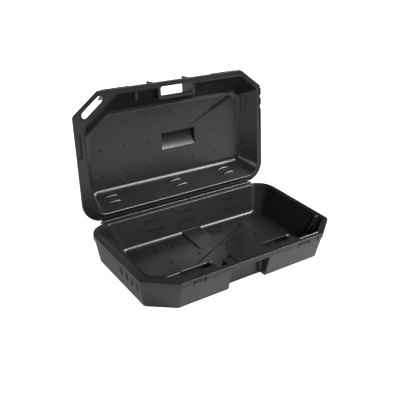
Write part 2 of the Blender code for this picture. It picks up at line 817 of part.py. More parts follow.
def make_handle_hole(cutters):
    """Cutter for the finger hole through the lid's front rim."""
    corners = [
        (HANDLE_HOLE_X[1], HANDLE_HOLE_Y[1]),
        (HANDLE_HOLE_X[0], HANDLE_HOLE_Y[1]),
        (HANDLE_HOLE_X[0], HANDLE_HOLE_Y[0]),
        (HANDLE_HOLE_X[1], HANDLE_HOLE_Y[0]),
    ]
    outline = round_corners(corners, [HANDLE_HOLE_RADIUS] * 4, [4] * 4)
    return loft("handle_hole_cutter", [(0.050, outline), (LID_MOUTH + LID_BAND + 0.001, outline)], cutters)


def make_hinge_flap(cutters):
    """Thin flap along the lid's rear edge that closes the gap over the knuckles."""
    half = HINGE_SPAN / 2
    return boxes("hinge_flap_tool", [(
        (-half, half), (HALF_DEPTH - 0.003, HINGE_Y - 0.0003), (LID_MOUTH + 0.0040, LID_MOUTH + 0.0052),
    )], cutters)


def make_panel_pad(cutters):
    """Raised pad on the lid's top, over the pocket."""
    margin = 0.003
    x_span = (PANEL_POCKET_X[0] - margin, PANEL_POCKET_X[1] + margin)
    y_span = (PANEL_POCKET_Y[0] - margin, PANEL_POCKET_Y[1] + margin)
    pad = boxes("panel_pad_tool", [(x_span, y_span, (LID_TOP - 0.0015, LID_TOP + POCKET_PAD))], cutters)
    modifier = pad.modifiers.new("rounding", "BEVEL")
    modifier.width = 0.002
    modifier.segments = 2
    return pad


def make_panel_pocket(cutters):
    """Cutter for the scooped pocket in the lid's panel, deepest towards the front."""
    mesh = bmesh.new()
    roof = LID_PANEL + PANEL_POCKET_DEPTH
    add_box(mesh, PANEL_POCKET_X, PANEL_POCKET_Y, (LID_PANEL - 0.004, roof))
    for vertex in mesh.verts:
        if vertex.co.z > LID_PANEL and vertex.co.y > 0:
            vertex.co.z = LID_PANEL + 0.0012
    return add_object("panel_pocket_cutter", mesh, cutters)


def panel_marks():
    """Places of the marks on the lid's panel, leaving out the pocket."""
    places = []
    for x in PANEL_MARK_COLUMNS:
        for y in PANEL_MARK_ROWS:
            in_pocket = PANEL_POCKET_X[0] < x < PANEL_POCKET_X[1] and PANEL_POCKET_Y[0] < y < PANEL_POCKET_Y[1]
            if not in_pocket:
                places.append((x, y))
    return places


def make_panel_marks(cutters):
    """Cutter for the small upright dimples in the lid's panel."""
    mesh = bmesh.new()
    for x, y in panel_marks():
        centre = (x, y, LID_PANEL + PANEL_MARK_DEPTH - 0.005)
        add_cylinder(mesh, centre, 1.0, 0.010, "Z", 10, PANEL_MARK_SIZE)
    return add_object("panel_mark_cutter", mesh, cutters)


def make_side_notches(cutters):
    """Cutter for the scalloped right edge and the pocket in the left rim."""
    mesh = bmesh.new()
    for y in SCALLOP_Y:
        add_cylinder(mesh, (HALF_LENGTH + 0.0025, y, LID_MOUTH), SCALLOP_RADIUS, 0.040, "Z", 16)
    add_box(mesh, SIDE_POCKET_X, SIDE_POCKET_Y, (LID_MOUTH - 0.002, LID_MOUTH + SIDE_POCKET_DEPTH))
    return add_object("side_notch_cutter", mesh, cutters)


def lug_spans(centre):
    """X spans of the two lugs that carry a latch."""
    inner = LATCH_WIDTH / 2 + LUG_GAP
    outer = inner + LUG_THICKNESS
    return ((centre - outer, centre - inner), (centre + inner, centre + outer))


def make_lugs(cutters):
    """Lugs on the lid's rim that carry the latch pins."""
    mesh = bmesh.new()
    heights = (LID_MOUTH + LID_BAND - 0.001, LATCH_PIN_Z)
    for centre in LATCH_X.values():
        for span in lug_spans(centre):
            add_box(mesh, span, (LATCH_PIN_Y - LATCH_BARREL, LATCH_PIN_Y + LATCH_BARREL), heights)
    lugs = add_object("lug_tool", mesh, cutters)
    mesh = bmesh.new()
    for centre in LATCH_X.values():
        for span in lug_spans(centre):
            add_cylinder(mesh, (sum(span) / 2, LATCH_PIN_Y, LATCH_PIN_Z), LATCH_BARREL, LUG_THICKNESS, "X", 16)
    apply_boolean(lugs, add_object("lug_round_tool", mesh, cutters), "UNION")
    return lugs


def make_pin_holes(cutters):
    """Cutter for the latch pins' holes in the lugs."""
    mesh = bmesh.new()
    for centre in LATCH_X.values():
        add_cylinder(mesh, (centre, LATCH_PIN_Y, LATCH_PIN_Z), LATCH_PIN_HOLE, 0.066, "X", 16)
    return add_object("pin_hole_cutter", mesh, cutters)


def make_lid(parts, cutters):
    """The lid with everything that is moulded into it, shut."""
    lid = make_lid_outside(parts, cutters)
    carry_angle = math.atan2(-CHAMFER_Y, CHAMFER_X)
    heights = (0.050, LID_MOUTH + 0.030)
    apply_boolean(lid, make_knuckles("lid_knuckle_tool", 1, cutters), "UNION")
    apply_boolean(lid, make_hinge_flap(cutters), "UNION")
    apply_boolean(lid, make_lugs(cutters), "UNION")
    apply_boolean(lid, make_panel_pad(cutters), "UNION")
    apply_boolean(lid, make_handle_cheeks(cutters), "UNION")
    apply_boolean(lid, make_lid_cavity(cutters), "DIFFERENCE")
    apply_boolean(lid, make_crescents(cutters), "UNION")
    apply_boolean(lid, make_side_ribs(cutters), "UNION")
    apply_boolean(lid, make_catch(cutters), "UNION")
    apply_boolean(lid, make_handle_recess(cutters), "DIFFERENCE")
    apply_boolean(lid, make_handle_hole(cutters), "DIFFERENCE")
    carry_slot = rounded_slot(
        "carry_slot_cutter", CARRY_SLOT_CENTRE, CARRY_SLOT_LENGTH, CARRY_SLOT_WIDTH, carry_angle, heights, cutters
    )
    apply_boolean(lid, carry_slot, "DIFFERENCE")
    apply_boolean(lid, make_panel_pocket(cutters), "DIFFERENCE")
    apply_boolean(lid, make_panel_marks(cutters), "DIFFERENCE")
    apply_boolean(lid, make_side_notches(cutters), "DIFFERENCE")
    apply_boolean(lid, make_pin_holes(cutters), "DIFFERENCE")
    apply_boolean(lid, make_rod_hole("lid_rod_cutter", cutters), "DIFFERENCE")
    smooth(lid)
    return lid


# Hinge rod and caps

def make_hinge_rod(parts):
    """Steel rod through all the knuckles."""
    mesh = bmesh.new()
    add_cylinder(mesh, (0, 0, 0), ROD_RADIUS, HINGE_SPAN + 2 * CAP_LENGTH, "X")
    rod = add_object("hinge_rod", mesh, parts)
    rod.location = (0, HINGE_Y, HINGE_Z)
    smooth(rod)
    return rod


def make_rod_cap(name, side, parts, cutters):
    """Push-on cap at one end of the hinge rod."""
    inner = HINGE_SPAN / 2 + RUNNING_GAP
    mesh = bmesh.new()
    add_cylinder(mesh, (side * (inner + CAP_LENGTH / 2 + 0.0008), 0, 0), CAP_RADIUS, CAP_LENGTH + 0.0016, "X")
    cap = add_object(name, mesh, parts)
    cap.location = (0, HINGE_Y, HINGE_Z)
    mesh = bmesh.new()
    bore = HINGE_SPAN / 2 + CAP_LENGTH + RUNNING_GAP
    add_cylinder(mesh, (side * (bore - 0.010), HINGE_Y, HINGE_Z), ROD_RADIUS + RUNNING_GAP, 0.020, "X", 16)
    apply_boolean(cap, add_object(name + "_bore", mesh, cutters), "DIFFERENCE")
    smooth(cap)
    return cap


# Latches, modelled hooked on the base's rim about their own pins

def latch_profile():
    """Side outline of a latch about its pin: barrel, plate and hook."""
    outer = -(LATCH_OFFSET + LATCH_PLATE)
    inner = -LATCH_OFFSET
    hook_top = LATCH_HOOK_Z[1] - LATCH_PIN_Z
    hook_foot = LATCH_HOOK_Z[0] - LATCH_PIN_Z
    points = arc_points((0.0, 0.0), LATCH_BARREL, math.radians(-60), math.radians(120), 8)
    points += [(-0.0030, LATCH_BARREL), (outer + 0.0012, 0.0022), (outer, 0.0006)]
    points += [(outer, -LATCH_DROP + 0.0015), (outer + 0.0008, -LATCH_DROP), (inner, -LATCH_DROP)]
    points += [(inner, hook_foot - 0.0018), (-LATCH_HOOK_REACH, hook_foot), (-LATCH_HOOK_REACH, hook_top)]
    points += [(inner, hook_top), (inner, -0.0035), (-0.0030, -0.0031)]
    return points


def make_latch(name, side, parts, cutters):
    """One latch: a plate on a pin, hooked under the base's rim when shut."""
    half = LATCH_WIDTH / 2
    mesh = bmesh.new()
    front = mesh.faces.new([mesh.verts.new((-half, y, z)) for y, z in latch_profile()])
    swept = bmesh.ops.extrude_face_region(mesh, geom=[front])
    moved = [item for item in swept["geom"] if isinstance(item, bmesh.types.BMVert)]
    bmesh.ops.translate(mesh, verts=moved, vec=(LATCH_WIDTH, 0, 0))
    latch = add_object(name, mesh, parts)
    mesh = bmesh.new()
    add_cylinder(mesh, (0, 0, 0), LATCH_PIN_HOLE, 0.080, "X", 16)
    bore = add_object(name + "_bore", mesh, cutters)
    bore.parent = latch
    apply_boolean(latch, bore, "DIFFERENCE")
    latch.location = (LATCH_X[side], LATCH_PIN_Y, LATCH_PIN_Z)
    latch.rotation_euler.x = -math.radians(LATCH_OPEN_ANGLE)
    smooth(latch)
    return latch


def make_latch_pin(name, side, parts):
    """Steel pin that a latch turns on."""
    mesh = bmesh.new()
    length = LATCH_WIDTH + 2 * (LUG_GAP + LUG_THICKNESS)
    add_cylinder(mesh, (0, 0, 0), LATCH_PIN_RADIUS, length, "X")
    pin = add_object(name, mesh, parts)
    pin.location = (LATCH_X[side], LATCH_PIN_Y, LATCH_PIN_Z)
    smooth(pin)
    return pin


# Lock

def make_lock_barrel(parts, cutters):
    """Stepped barrel: key face, collar, shaft and square drive."""
    face, collar, shaft, drive, end = BARREL_Y
    steps = ((face, collar + 0.0002, BARREL_RADIUS), (collar, shaft, COLLAR_RADIUS), (shaft - 0.0002, drive, SHAFT_RADIUS))
    turned = None
    for start, stop, radius in steps:
        mesh = bmesh.new()
        add_cylinder(mesh, (0, (start + stop) / 2, 0), radius, stop - start, "Y")
        if turned is None:
            turned = add_object("lock_barrel", mesh, parts)
        else:
            step_tool = add_object("barrel_step_tool", mesh, cutters)
            step_tool.parent = turned
            apply_boolean(turned, step_tool, "UNION")
    half = DRIVE_SIZE / 2
    square = boxes("barrel_drive_tool", [((-half, half), (drive - 0.0005, end), (-half, half))], cutters)
    square.parent = turned
    apply_boolean(turned, square, "UNION")
    width, height, depth = KEY_SLOT
    slot = boxes("key_slot_cutter", [
        ((-width / 2, width / 2), (face - 0.001, face + depth), (-height / 2, height / 2)),
    ], cutters)
    slot.parent = turned
    apply_boolean(turned, slot, "DIFFERENCE")
    groove = square_ring("clip_groove_cutter", cutters)
    groove.parent = turned
    apply_boolean(turned, groove, "DIFFERENCE")
    turned.location = (LOCK_X, 0, LOCK_Z)
    smooth(turned)
    return turned


def square_ring(name, cutters):
    """Cutter for the clip's groove round the square drive."""
    mesh = bmesh.new()
    middle = sum(CLIP_Y) / 2
    width = CLIP_Y[1] - CLIP_Y[0] + 0.0006
    add_cylinder(mesh, (0, middle, 0), 0.006, width, "Y")
    ring = add_object(name, mesh, cutters)
    mesh = bmesh.new()
    add_cylinder(mesh, (0, middle, 0), 0.0017, width + 0.004, "Y", 12)
    core = add_object(name + "_core", mesh, cutters)
    core.parent = ring
    apply_boolean(ring, core, "DIFFERENCE")
    return ring


def make_lock_cam(parts, cutters):
    """Cam with a nose, turned up into the lid to lock it."""
    mesh = bmesh.new()
    add_cylinder(mesh, (0, sum(CAM_Y) / 2, 0), CAM_HUB, CAM_Y[1] - CAM_Y[0], "Y")
    cam = add_object("lock_cam", mesh, parts)
    half = CAM_WIDTH / 2
    arm = boxes("cam_arm_tool", [((-CAM_REACH, 0.0), CAM_Y, (-half, half))], cutters)
    nose_x = (-CAM_REACH, -CAM_REACH + CAM_NOSE_HEIGHT)
    nose = boxes("cam_nose_tool", [(nose_x, CAM_Y, (half - 0.001, half + CAM_NOSE))], cutters)
    hole = DRIVE_HOLE / 2
    drive = boxes("cam_drive_cutter", [((-hole, hole), (-0.120, -0.095), (-hole, hole))], cutters)
    for tool, operation in ((arm, "UNION"), (nose, "UNION"), (drive, "DIFFERENCE")):
        tool.parent = cam
        apply_boolean(cam, tool, operation)
    cam.location = (LOCK_X, 0, LOCK_Z)
    smooth(cam)
    return cam


def make_lock_clip(parts, cutters):
    """Open spring clip that keeps the cam on the barrel."""
    mesh = bmesh.new()
    add_cylinder(mesh, (0, sum(CLIP_Y) / 2, 0), CLIP_RADIUS, CLIP_Y[1] - CLIP_Y[0], "Y")
    clip = add_object("lock_clip", mesh, parts)
    mesh = bmesh.new()
    add_cylinder(mesh, (0, sum(CLIP_Y) / 2, 0), 0.0021, 0.004, "Y", 16)
    mouth = add_object("clip_bore_cutter", mesh, cutters)
    opening = boxes("clip_mouth_cutter", [((-0.0018, 0.0018), (-0.106, -0.101), (-0.008, 0.0))], cutters)
    for tool in (mouth, opening):
        tool.parent = clip
        apply_boolean(clip, tool, "DIFFERENCE")
    clip.location = (LOCK_X, 0, LOCK_Z)
    smooth(clip)
    return clip


# Assembly

def hang_from_hinge(items):
    """Parent the lid's pieces to an empty on the hinge axis and swing it open."""
    hinge = bpy.data.objects.new("lid_hinge", None)
    bpy.context.scene.collection.objects.link(hinge)
    hinge.location = (0, HINGE_Y, HINGE_Z)
    for item in items:
        item.parent = hinge
        item.location = item.location - hinge.location
    hinge.rotation_euler.x = -math.radians(OPEN_ANGLE)


def dress(items, material):
    """Give several objects one material each of the same finish."""
    for item in items:
        own = material.copy()
        own.name = item.name
        item.data.materials.append(own)


def main():
    """Build the whole bait station."""
    clear_scene()
    parts = make_collection("bait_station")
    cutters = make_collection("cutters")
    base = make_base(parts, cutters)
    base_tools = set(cutters.objects)
    lid = make_lid(parts, cutters)
    lid_tools = [item for item in cutters.objects if item not in base_tools and item.parent is None]
    rod = make_hinge_rod(parts)
    caps = [make_rod_cap("rod_cap_left", -1, parts, cutters), make_rod_cap("rod_cap_right", 1, parts, cutters)]
    latches = [make_latch("latch_" + side, side, parts, cutters) for side in LATCH_X]
    pins = [make_latch_pin("latch_pin_" + side, side, parts) for side in LATCH_X]
    barrel = make_lock_barrel(parts, cutters)
    cam = make_lock_cam(parts, cutters)
    clip = make_lock_clip(parts, cutters)
    hang_from_hinge([lid] + lid_tools + latches + pins)
    plastic = make_material("black_plastic", (0.022, 0.022, 0.024), 0.42, 0.0)
    steel = make_material("steel", (0.55, 0.55, 0.56), 0.30, 1.0)
    black = make_material("black_paint", (0.030, 0.030, 0.032), 0.40, 0.0)
    dress([base, lid] + latches + caps, plastic)
    dress([rod, clip] + pins, steel)
    dress([barrel, cam], black)


main()
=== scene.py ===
"""Looks of a moulded bait station standing open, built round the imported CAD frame.

The base tub and the lid are modelled again here with rounded lips, fillets, ribs and marks.
The rod, pins, latches and lock keep their CAD shape and get their own finishes.
"""
import json
import logging
import math
from dataclasses import dataclass
from enum import Enum

import bmesh
import bpy
from mathutils import Matrix, Vector


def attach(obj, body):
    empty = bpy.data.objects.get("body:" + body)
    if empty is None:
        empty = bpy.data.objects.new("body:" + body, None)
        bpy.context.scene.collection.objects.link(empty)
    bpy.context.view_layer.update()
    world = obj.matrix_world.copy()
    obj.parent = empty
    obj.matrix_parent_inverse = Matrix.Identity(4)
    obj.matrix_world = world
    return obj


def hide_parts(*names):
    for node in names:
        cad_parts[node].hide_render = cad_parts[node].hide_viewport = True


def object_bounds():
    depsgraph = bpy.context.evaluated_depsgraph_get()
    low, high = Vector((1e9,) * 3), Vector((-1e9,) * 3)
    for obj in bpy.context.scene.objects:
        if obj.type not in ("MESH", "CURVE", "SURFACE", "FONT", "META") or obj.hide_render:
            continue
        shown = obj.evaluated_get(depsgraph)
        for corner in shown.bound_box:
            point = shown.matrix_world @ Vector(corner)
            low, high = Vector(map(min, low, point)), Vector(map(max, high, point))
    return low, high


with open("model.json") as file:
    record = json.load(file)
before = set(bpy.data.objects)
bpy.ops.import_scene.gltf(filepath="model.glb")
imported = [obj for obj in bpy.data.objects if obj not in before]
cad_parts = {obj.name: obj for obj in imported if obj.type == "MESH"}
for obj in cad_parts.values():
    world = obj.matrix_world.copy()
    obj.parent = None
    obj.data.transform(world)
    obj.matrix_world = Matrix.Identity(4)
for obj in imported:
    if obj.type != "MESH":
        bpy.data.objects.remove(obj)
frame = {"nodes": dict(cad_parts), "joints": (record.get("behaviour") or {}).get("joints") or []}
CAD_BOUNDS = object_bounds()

THIN_FACE = 0.00012
BROAD_FACE = 0.006
LOG = logging.getLogger("bait_station")

Point = tuple[float, float]
Span = tuple[float, float]
Outline = list[Point]
Ring = tuple[float, Outline]
Place = tuple[float, float, float]

MERGE_DISTANCE = 0.000004
FLAT_ANGLE = 0.003
NORMAL_WEIGHT = 95
WHITE = (1.0, 1.0, 1.0, 1.0)


class Cut(Enum):
    """How a tool changes a moulding."""

    ADD = "UNION"
    REMOVE = "DIFFERENCE"


class Way(Enum):
    """Which way a dish opens."""

    UP = -1.0
    DOWN = 1.0


# Node groups shared by the finishes


def new_group(name: str, inputs: dict[str, float], outputs: list[str]) -> bpy.types.ShaderNodeTree:
    """Start a shader node group with number sockets.

    Args:
        name: the group's name.
        inputs: input names with their starting values.
        outputs: output names.

    Returns:
        The new group with its input and output nodes placed.
    """
    group = bpy.data.node_groups.new(name, "ShaderNodeTree")
    for title, value in inputs.items():
        socket = group.interface.new_socket(title, in_out="INPUT", socket_type="NodeSocketFloat")
        socket.default_value = value
    for title in outputs:
        group.interface.new_socket(title, in_out="OUTPUT", socket_type="NodeSocketFloat")
    group.nodes.new("NodeGroupInput").name = "in"
    group.nodes.new("NodeGroupOutput").name = "out"
    return group


def math_node(group: bpy.types.ShaderNodeTree, operation: str, first: object, second: object) -> object:
    """Add a Math node and return its output.

    Args:
        group: the tree the node goes in.
        operation: the Math node's operation.
        first: a socket or a number.
        second: a socket or a number.

    Returns:
        The node's output socket.
    """
    node = group.nodes.new("ShaderNodeMath")
    node.operation = operation
    for socket, value in zip(node.inputs, (first, second)):
        if isinstance(value, (int, float)):
            socket.default_value = value
        else:
            group.links.new(value, socket)
    return node.outputs[0]


def noise_node(group: bpy.types.ShaderNodeTree, place: object, scale: object, detail: float) -> object:
    """Add a Noise texture and return its factor.

    Args:
        group: the tree the node goes in.
        place: the coordinate socket.
        scale: a socket or a number for the scale.
        detail: octaves of detail.

    Returns:
        The factor socket.
    """
    node = group.nodes.new("ShaderNodeTexNoise")
    node.inputs["Detail"].default_value = detail
    group.links.new(place, node.inputs["Vector"])
    if isinstance(scale, (int, float)):
        node.inputs["Scale"].default_value = scale
    else:
        group.links.new(scale, node.inputs["Scale"])
    return node.outputs["Fac"]


def moulded_grain_group() -> bpy.types.ShaderNodeTree:
    """Build the spark-eroded grain of moulded plastic.

    Returns:
        A group giving a height and a slow mottling from 0 to 1.
    """
    group = new_group("moulded_grain", {"Scale": 900.0, "Mottle Scale": 14.0}, ["Height", "Mottle"])
    inlet = group.nodes["in"]
    outlet = group.nodes["out"]
    place = group.nodes.new("ShaderNodeTexCoord").outputs["Object"]
    fine = noise_node(group, place, inlet.outputs["Scale"], 3.0)
    doubled = math_node(group, "MULTIPLY", inlet.outputs["Scale"], 2.7)
    finer = noise_node(group, place, doubled, 1.0)
    mixed = math_node(group, "MULTIPLY", math_node(group, "ADD", fine, finer), 0.5)
    group.links.new(mixed, outlet.inputs["Height"])
    group.links.new(noise_node(group, place, inlet.outputs["Mottle Scale"], 4.0), outlet.inputs["Mottle"])
    return group


def edge_wear_group() -> bpy.types.ShaderNodeTree:
    """Build the rubbed edges of a used piece.

    Returns:
        A group giving a mask that is 1 on worn convex edges.
    """
    group = new_group("edge_wear", {"Amount": 0.5, "Breakup": 60.0}, ["Mask"])
    inlet = group.nodes["in"]
    geometry = group.nodes.new("ShaderNodeNewGeometry")
    place = group.nodes.new("ShaderNodeTexCoord").outputs["Object"]
    edge = math_node(group, "SUBTRACT", geometry.outputs["Pointiness"], 0.52)
    sharp = math_node(group, "MULTIPLY", edge, 14.0)
    patchy = noise_node(group, place, inlet.outputs["Breakup"], 3.0)
    worn = math_node(group, "MULTIPLY", sharp, patchy)
    clamp = group.nodes.new("ShaderNodeClamp")
    group.links.new(math_node(group, "MULTIPLY", worn, inlet.outputs["Amount"]), clamp.inputs["Value"])
    group.links.new(clamp.outputs["Result"], group.nodes["out"].inputs["Mask"])
    return group


def settled_dust_group() -> bpy.types.ShaderNodeTree:
    """Build the thin dust that settles on level faces.

    Returns:
        A group giving a mask that is highest where dust lies.
    """
    group = new_group("settled_dust", {"Amount": 0.2, "Patch Scale": 22.0}, ["Mask"])
    inlet = group.nodes["in"]
    geometry = group.nodes.new("ShaderNodeNewGeometry")
    place = group.nodes.new("ShaderNodeTexCoord").outputs["Object"]
    parts = group.nodes.new("ShaderNodeSeparateXYZ")
    group.links.new(geometry.outputs["Normal"], parts.inputs["Vector"])
    level = math_node(group, "MAXIMUM", parts.outputs["Z"], 0.0)
    steep = math_node(group, "POWER", level, 4.0)
    patchy = noise_node(group, place, inlet.outputs["Patch Scale"], 5.0)
    mask = math_node(group, "MULTIPLY", math_node(group, "MULTIPLY", steep, patchy), inlet.outputs["Amount"])
    group.links.new(mask, group.nodes["out"].inputs["Mask"])
    return group


class EffectShelf:
    """Holds each shared node group, built once."""

    def __init__(self) -> None:
        """Build all the groups."""
        self.grain = moulded_grain_group()
        self.wear = edge_wear_group()
        self.dust = settled_dust_group()


def place_group(tree: bpy.types.NodeTree, group: bpy.types.NodeTree, values: dict[str, float]) -> object:
    """Place a group in a material with its own values.

    Args:
        tree: the material's tree.
        group: the shared group.
        values: values for the group's inputs.

    Returns:
        The group node.
    """
    node = tree.nodes.new("ShaderNodeGroup")
    node.node_tree = group
    for title, value in values.items():
        node.inputs[title].default_value = value
    return node


def mix_colours(tree: bpy.types.NodeTree, mask: object, first: object, second: object) -> object:
    """Mix two colours by a mask.

    Args:
        tree: the material's tree.
        mask: the factor socket.
        first: a colour or a socket where the mask is 0.
        second: a colour or a socket where the mask is 1.

    Returns:
        The mixed colour socket.
    """
    node = tree.nodes.new("ShaderNodeMix")
    node.data_type = "RGBA"
    tree.links.new(mask, node.inputs[0])
    for socket, value in zip((node.inputs[6], node.inputs[7]), (first, second)):
        if isinstance(value, tuple):
            socket.default_value = (*value, 1.0)
        else:
            tree.links.new(value, socket)
    return node.outputs[2]


def map_range(tree: bpy.types.NodeTree, value: object, low: float, high: float) -> object:
    """Stretch a 0 to 1 value to a new range.

    Args:
        tree: the material's tree.
        value: the socket to stretch.
        low: result at 0.
        high: result at 1.

    Returns:
        The stretched socket.
    """
    node = tree.nodes.new("ShaderNodeMapRange")
    tree.links.new(value, node.inputs["Value"])
    node.inputs["To Min"].default_value = low
    node.inputs["To Max"].default_value = high
    return node.outputs["Result"]


def start_material(name: str) -> tuple[bpy.types.Material, bpy.types.NodeTree, object]:
    """Start a material with a Principled shader.

    Args:
        name: the material's name.

    Returns:
        The material, its tree and its shader.
    """
    material = bpy.data.materials.new(name)
    material.use_nodes = True
    return material, material.node_tree, material.node_tree.nodes["Principled BSDF"]


def add_texture(
    tree: bpy.types.NodeTree, grain: object, roughness: Span, strength: float, distance: float
) -> None:
    """Drive the shader's roughness and bump from the grain group.

    Args:
        tree: the material's tree.
        grain: the placed grain group.
        roughness: roughness where the mottling is 0 and 1.
        strength: strength of the bump.
        distance: depth of the bump.
    """
    shader = tree.nodes["Principled BSDF"]
    rough = map_range(tree, grain.outputs["Mottle"], *roughness)
    tree.links.new(rough, shader.inputs["Roughness"])
    bump = tree.nodes.new("ShaderNodeBump")
    bump.inputs["Strength"].default_value = strength
    bump.inputs["Distance"].default_value = distance
    tree.links.new(grain.outputs["Height"], bump.inputs["Height"])
    tree.links.new(bump.outputs["Normal"], shader.inputs["Normal"])


@dataclass(frozen=True)
class MouldedPlastic:
    """Satin black moulded plastic with grain, mottling, rubbed edges and dust."""

    deep: tuple[float, float, float] = (0.010, 0.010, 0.011)
    light: tuple[float, float, float] = (0.016, 0.0155, 0.016)
    worn: tuple[float, float, float] = (0.10, 0.10, 0.10)
    dusty: tuple[float, float, float] = (0.17, 0.16, 0.15)
    roughness: Span = (0.23, 0.30)
    grain: float = 0.004
    grain_depth: float = 0.0004
    wear: float = 0.03
    dust: float = 0.06
    shine: float = 0.45

    def make(self, name: str, shelf: EffectShelf) -> bpy.types.Material:
        """Build the material.

        Args:
            name: the material's name.
            shelf: the shared groups.

        Returns:
            The material.
        """
        material, tree, shader = start_material(name)
        shader.inputs["Specular IOR Level"].default_value = self.shine
        grain = place_group(tree, shelf.grain, {"Scale": 1100.0, "Mottle Scale": 12.0})
        wear = place_group(tree, shelf.wear, {"Amount": self.wear, "Breakup": 70.0})
        dust = place_group(tree, shelf.dust, {"Amount": self.dust, "Patch Scale": 18.0})
        body = mix_colours(tree, grain.outputs["Mottle"], self.deep, self.light)
        rubbed = mix_colours(tree, wear.outputs["Mask"], body, self.worn)
        dusted = mix_colours(tree, dust.outputs["Mask"], rubbed, self.dusty)
        tree.links.new(dusted, shader.inputs["Base Color"])
        add_texture(tree, grain, self.roughness, self.grain, self.grain_depth)
        return material


@dataclass(frozen=True)
class DrawnMetal:
    """Drawn or cast metal with fine lines, dull patches and rubbed edges."""

    clean: tuple[float, float, float] = (0.52, 0.52, 0.53)
    dull: tuple[float, float, float] = (0.33, 0.32, 0.31)
    roughness: Span = (0.22, 0.42)
    grain: float = 0.12
    grain_depth: float = 0.0002
    wear: float = 0.5

    def make(self, name: str, shelf: EffectShelf) -> bpy.types.Material:
        """Build the material.

        Args:
            name: the material's name.
            shelf: the shared groups.

        Returns:
            The material.
        """
        material, tree, shader = start_material(name)
        shader.inputs["Metallic"].default_value = 1.0
        grain = place_group(tree, shelf.grain, {"Scale": 1600.0, "Mottle Scale": 90.0})
        wear = place_group(tree, shelf.wear, {"Amount": self.wear, "Breakup": 160.0})
        body = mix_colours(tree, grain.outputs["Mottle"], self.clean, self.dull)
        rubbed = mix_colours(tree, wear.outputs["Mask"], body, self.clean)
        tree.links.new(rubbed, shader.inputs["Base Color"])
        add_texture(tree, grain, self.roughness, self.grain, self.grain_depth)
        return material


# Outlines


def arc_points(centre: Point, radius: float, start: float, end: float, segments: int) -> Outline:
    """List points along an arc, both ends included.

    Args:
        centre: the arc's centre.
        radius: its radius.
        start: first angle.
        end: last angle.
        segments: number of steps.

    Returns:
        The points.
    """
    steps = [start + (end - start) * step / segments for step in range(segments + 1)]
    return [(centre[0] + radius * math.cos(a), centre[1] + radius * math.sin(a)) for a in steps]


def offset_corners(corners: Outline, insets: list[float]) -> Outline:
    """Move each edge of a counter-clockwise outline inwards.

    Args:
        corners: the outline's corners.
        insets: one distance for each edge.

    Returns:
        The moved corners.
    """
    count = len(corners)
    lines = []
    for index in range(count):
        start = Vector(corners[index])
        along = (Vector(corners[(index + 1) % count]) - start).normalized()
        lines.append((start + Vector((-along.y, along.x)) * insets[index], along))
    moved = []
    for index in range(count):
        point_a, along_a = lines[index - 1]
        point_b, along_b = lines[index]
        distance = (point_b - point_a).cross(along_b) / along_a.cross(along_b)
        moved.append(tuple(point_a + along_a * distance))
    return moved


def round_corners(corners: Outline, radii: list[float], segments: list[int]) -> Outline:
    """Round every corner of a counter-clockwise convex outline.

    Args:
        corners: the outline's corners.
        radii: one radius for each corner.
        segments: number of steps for each corner.

    Returns:
        The rounded outline.
    """
    count = len(corners)
    outline: Outline = []
    for index in range(count):
        corner = Vector(corners[index])
        before = (Vector(corners[index - 1]) - corner).normalized()
        after = (Vector(corners[(index + 1) % count]) - corner).normalized()
        half = before.angle(after) / 2
        centre = corner + (before + after).normalized() * (radii[index] / math.sin(half))
        reach = radii[index] / math.tan(half)
        first = corner + before * reach - centre
        last = corner + after * reach - centre
        start = math.atan2(first.y, first.x)
        sweep = (math.atan2(last.y, last.x) - start) % (2 * math.pi)
        outline += arc_points(tuple(centre), radii[index], start, start + sweep, segments[index])
    return outline


def widen(span: Span, margin: float) -> Span:
    """Span made longer by a margin at both ends."""
    return span[0] - margin, span[1] + margin


def about(middle: float, half: float) -> Span:
    """Span of a half-length on both sides of a middle."""
    return middle - half, middle + half


def rounding(radius: float, steps: int = 4) -> Outline:
    """Steps round a quarter circle, as two distances that swap places on the way.

    Args:
        radius: the rounding's radius.
        steps: number of steps.

    Returns:
        At each step, the distance that grows to the radius and the one that shrinks to 0.
    """
    angles = [math.pi / 2 * step / steps for step in range(steps + 1)]
    return [(radius * (1 - math.cos(angle)), radius * (1 - math.sin(angle))) for angle in angles]


def lying(x: float, y: float, z: float) -> Matrix:
    """Place for a rod that lies along X."""
    return Matrix.Translation((x, y, z)) @ Matrix.Rotation(math.pi / 2, 4, "Y")


def rectangle(x_span: Span, y_span: Span, radius: float, segments: int = 5) -> Outline:
    """Outline of a rectangle with rounded corners."""
    corners = [(x_span[1], y_span[1]), (x_span[0], y_span[1]), (x_span[0], y_span[0]), (x_span[1], y_span[0])]
    return round_corners(corners, [radius] * 4, [segments] * 4)


def capsule(centre: Point, length: float, width: float, angle: float, segments: int = 12) -> Outline:
    """Outline of a slot with round ends.

    Args:
        centre: the slot's centre.
        length: end-to-end length.
        width: width.
        angle: angle of its long direction.
        segments: steps round each end.

    Returns:
        The outline.
    """
    radius = width / 2
    reach = length / 2 - radius
    points = arc_points((reach, 0.0), radius, -math.pi / 2, math.pi / 2, segments)
    points += arc_points((-reach, 0.0), radius, math.pi / 2, 3 * math.pi / 2, segments)
    turn = Matrix.Rotation(angle, 2)
    return [tuple(turn @ Vector(point) + Vector(centre)) for point in points]


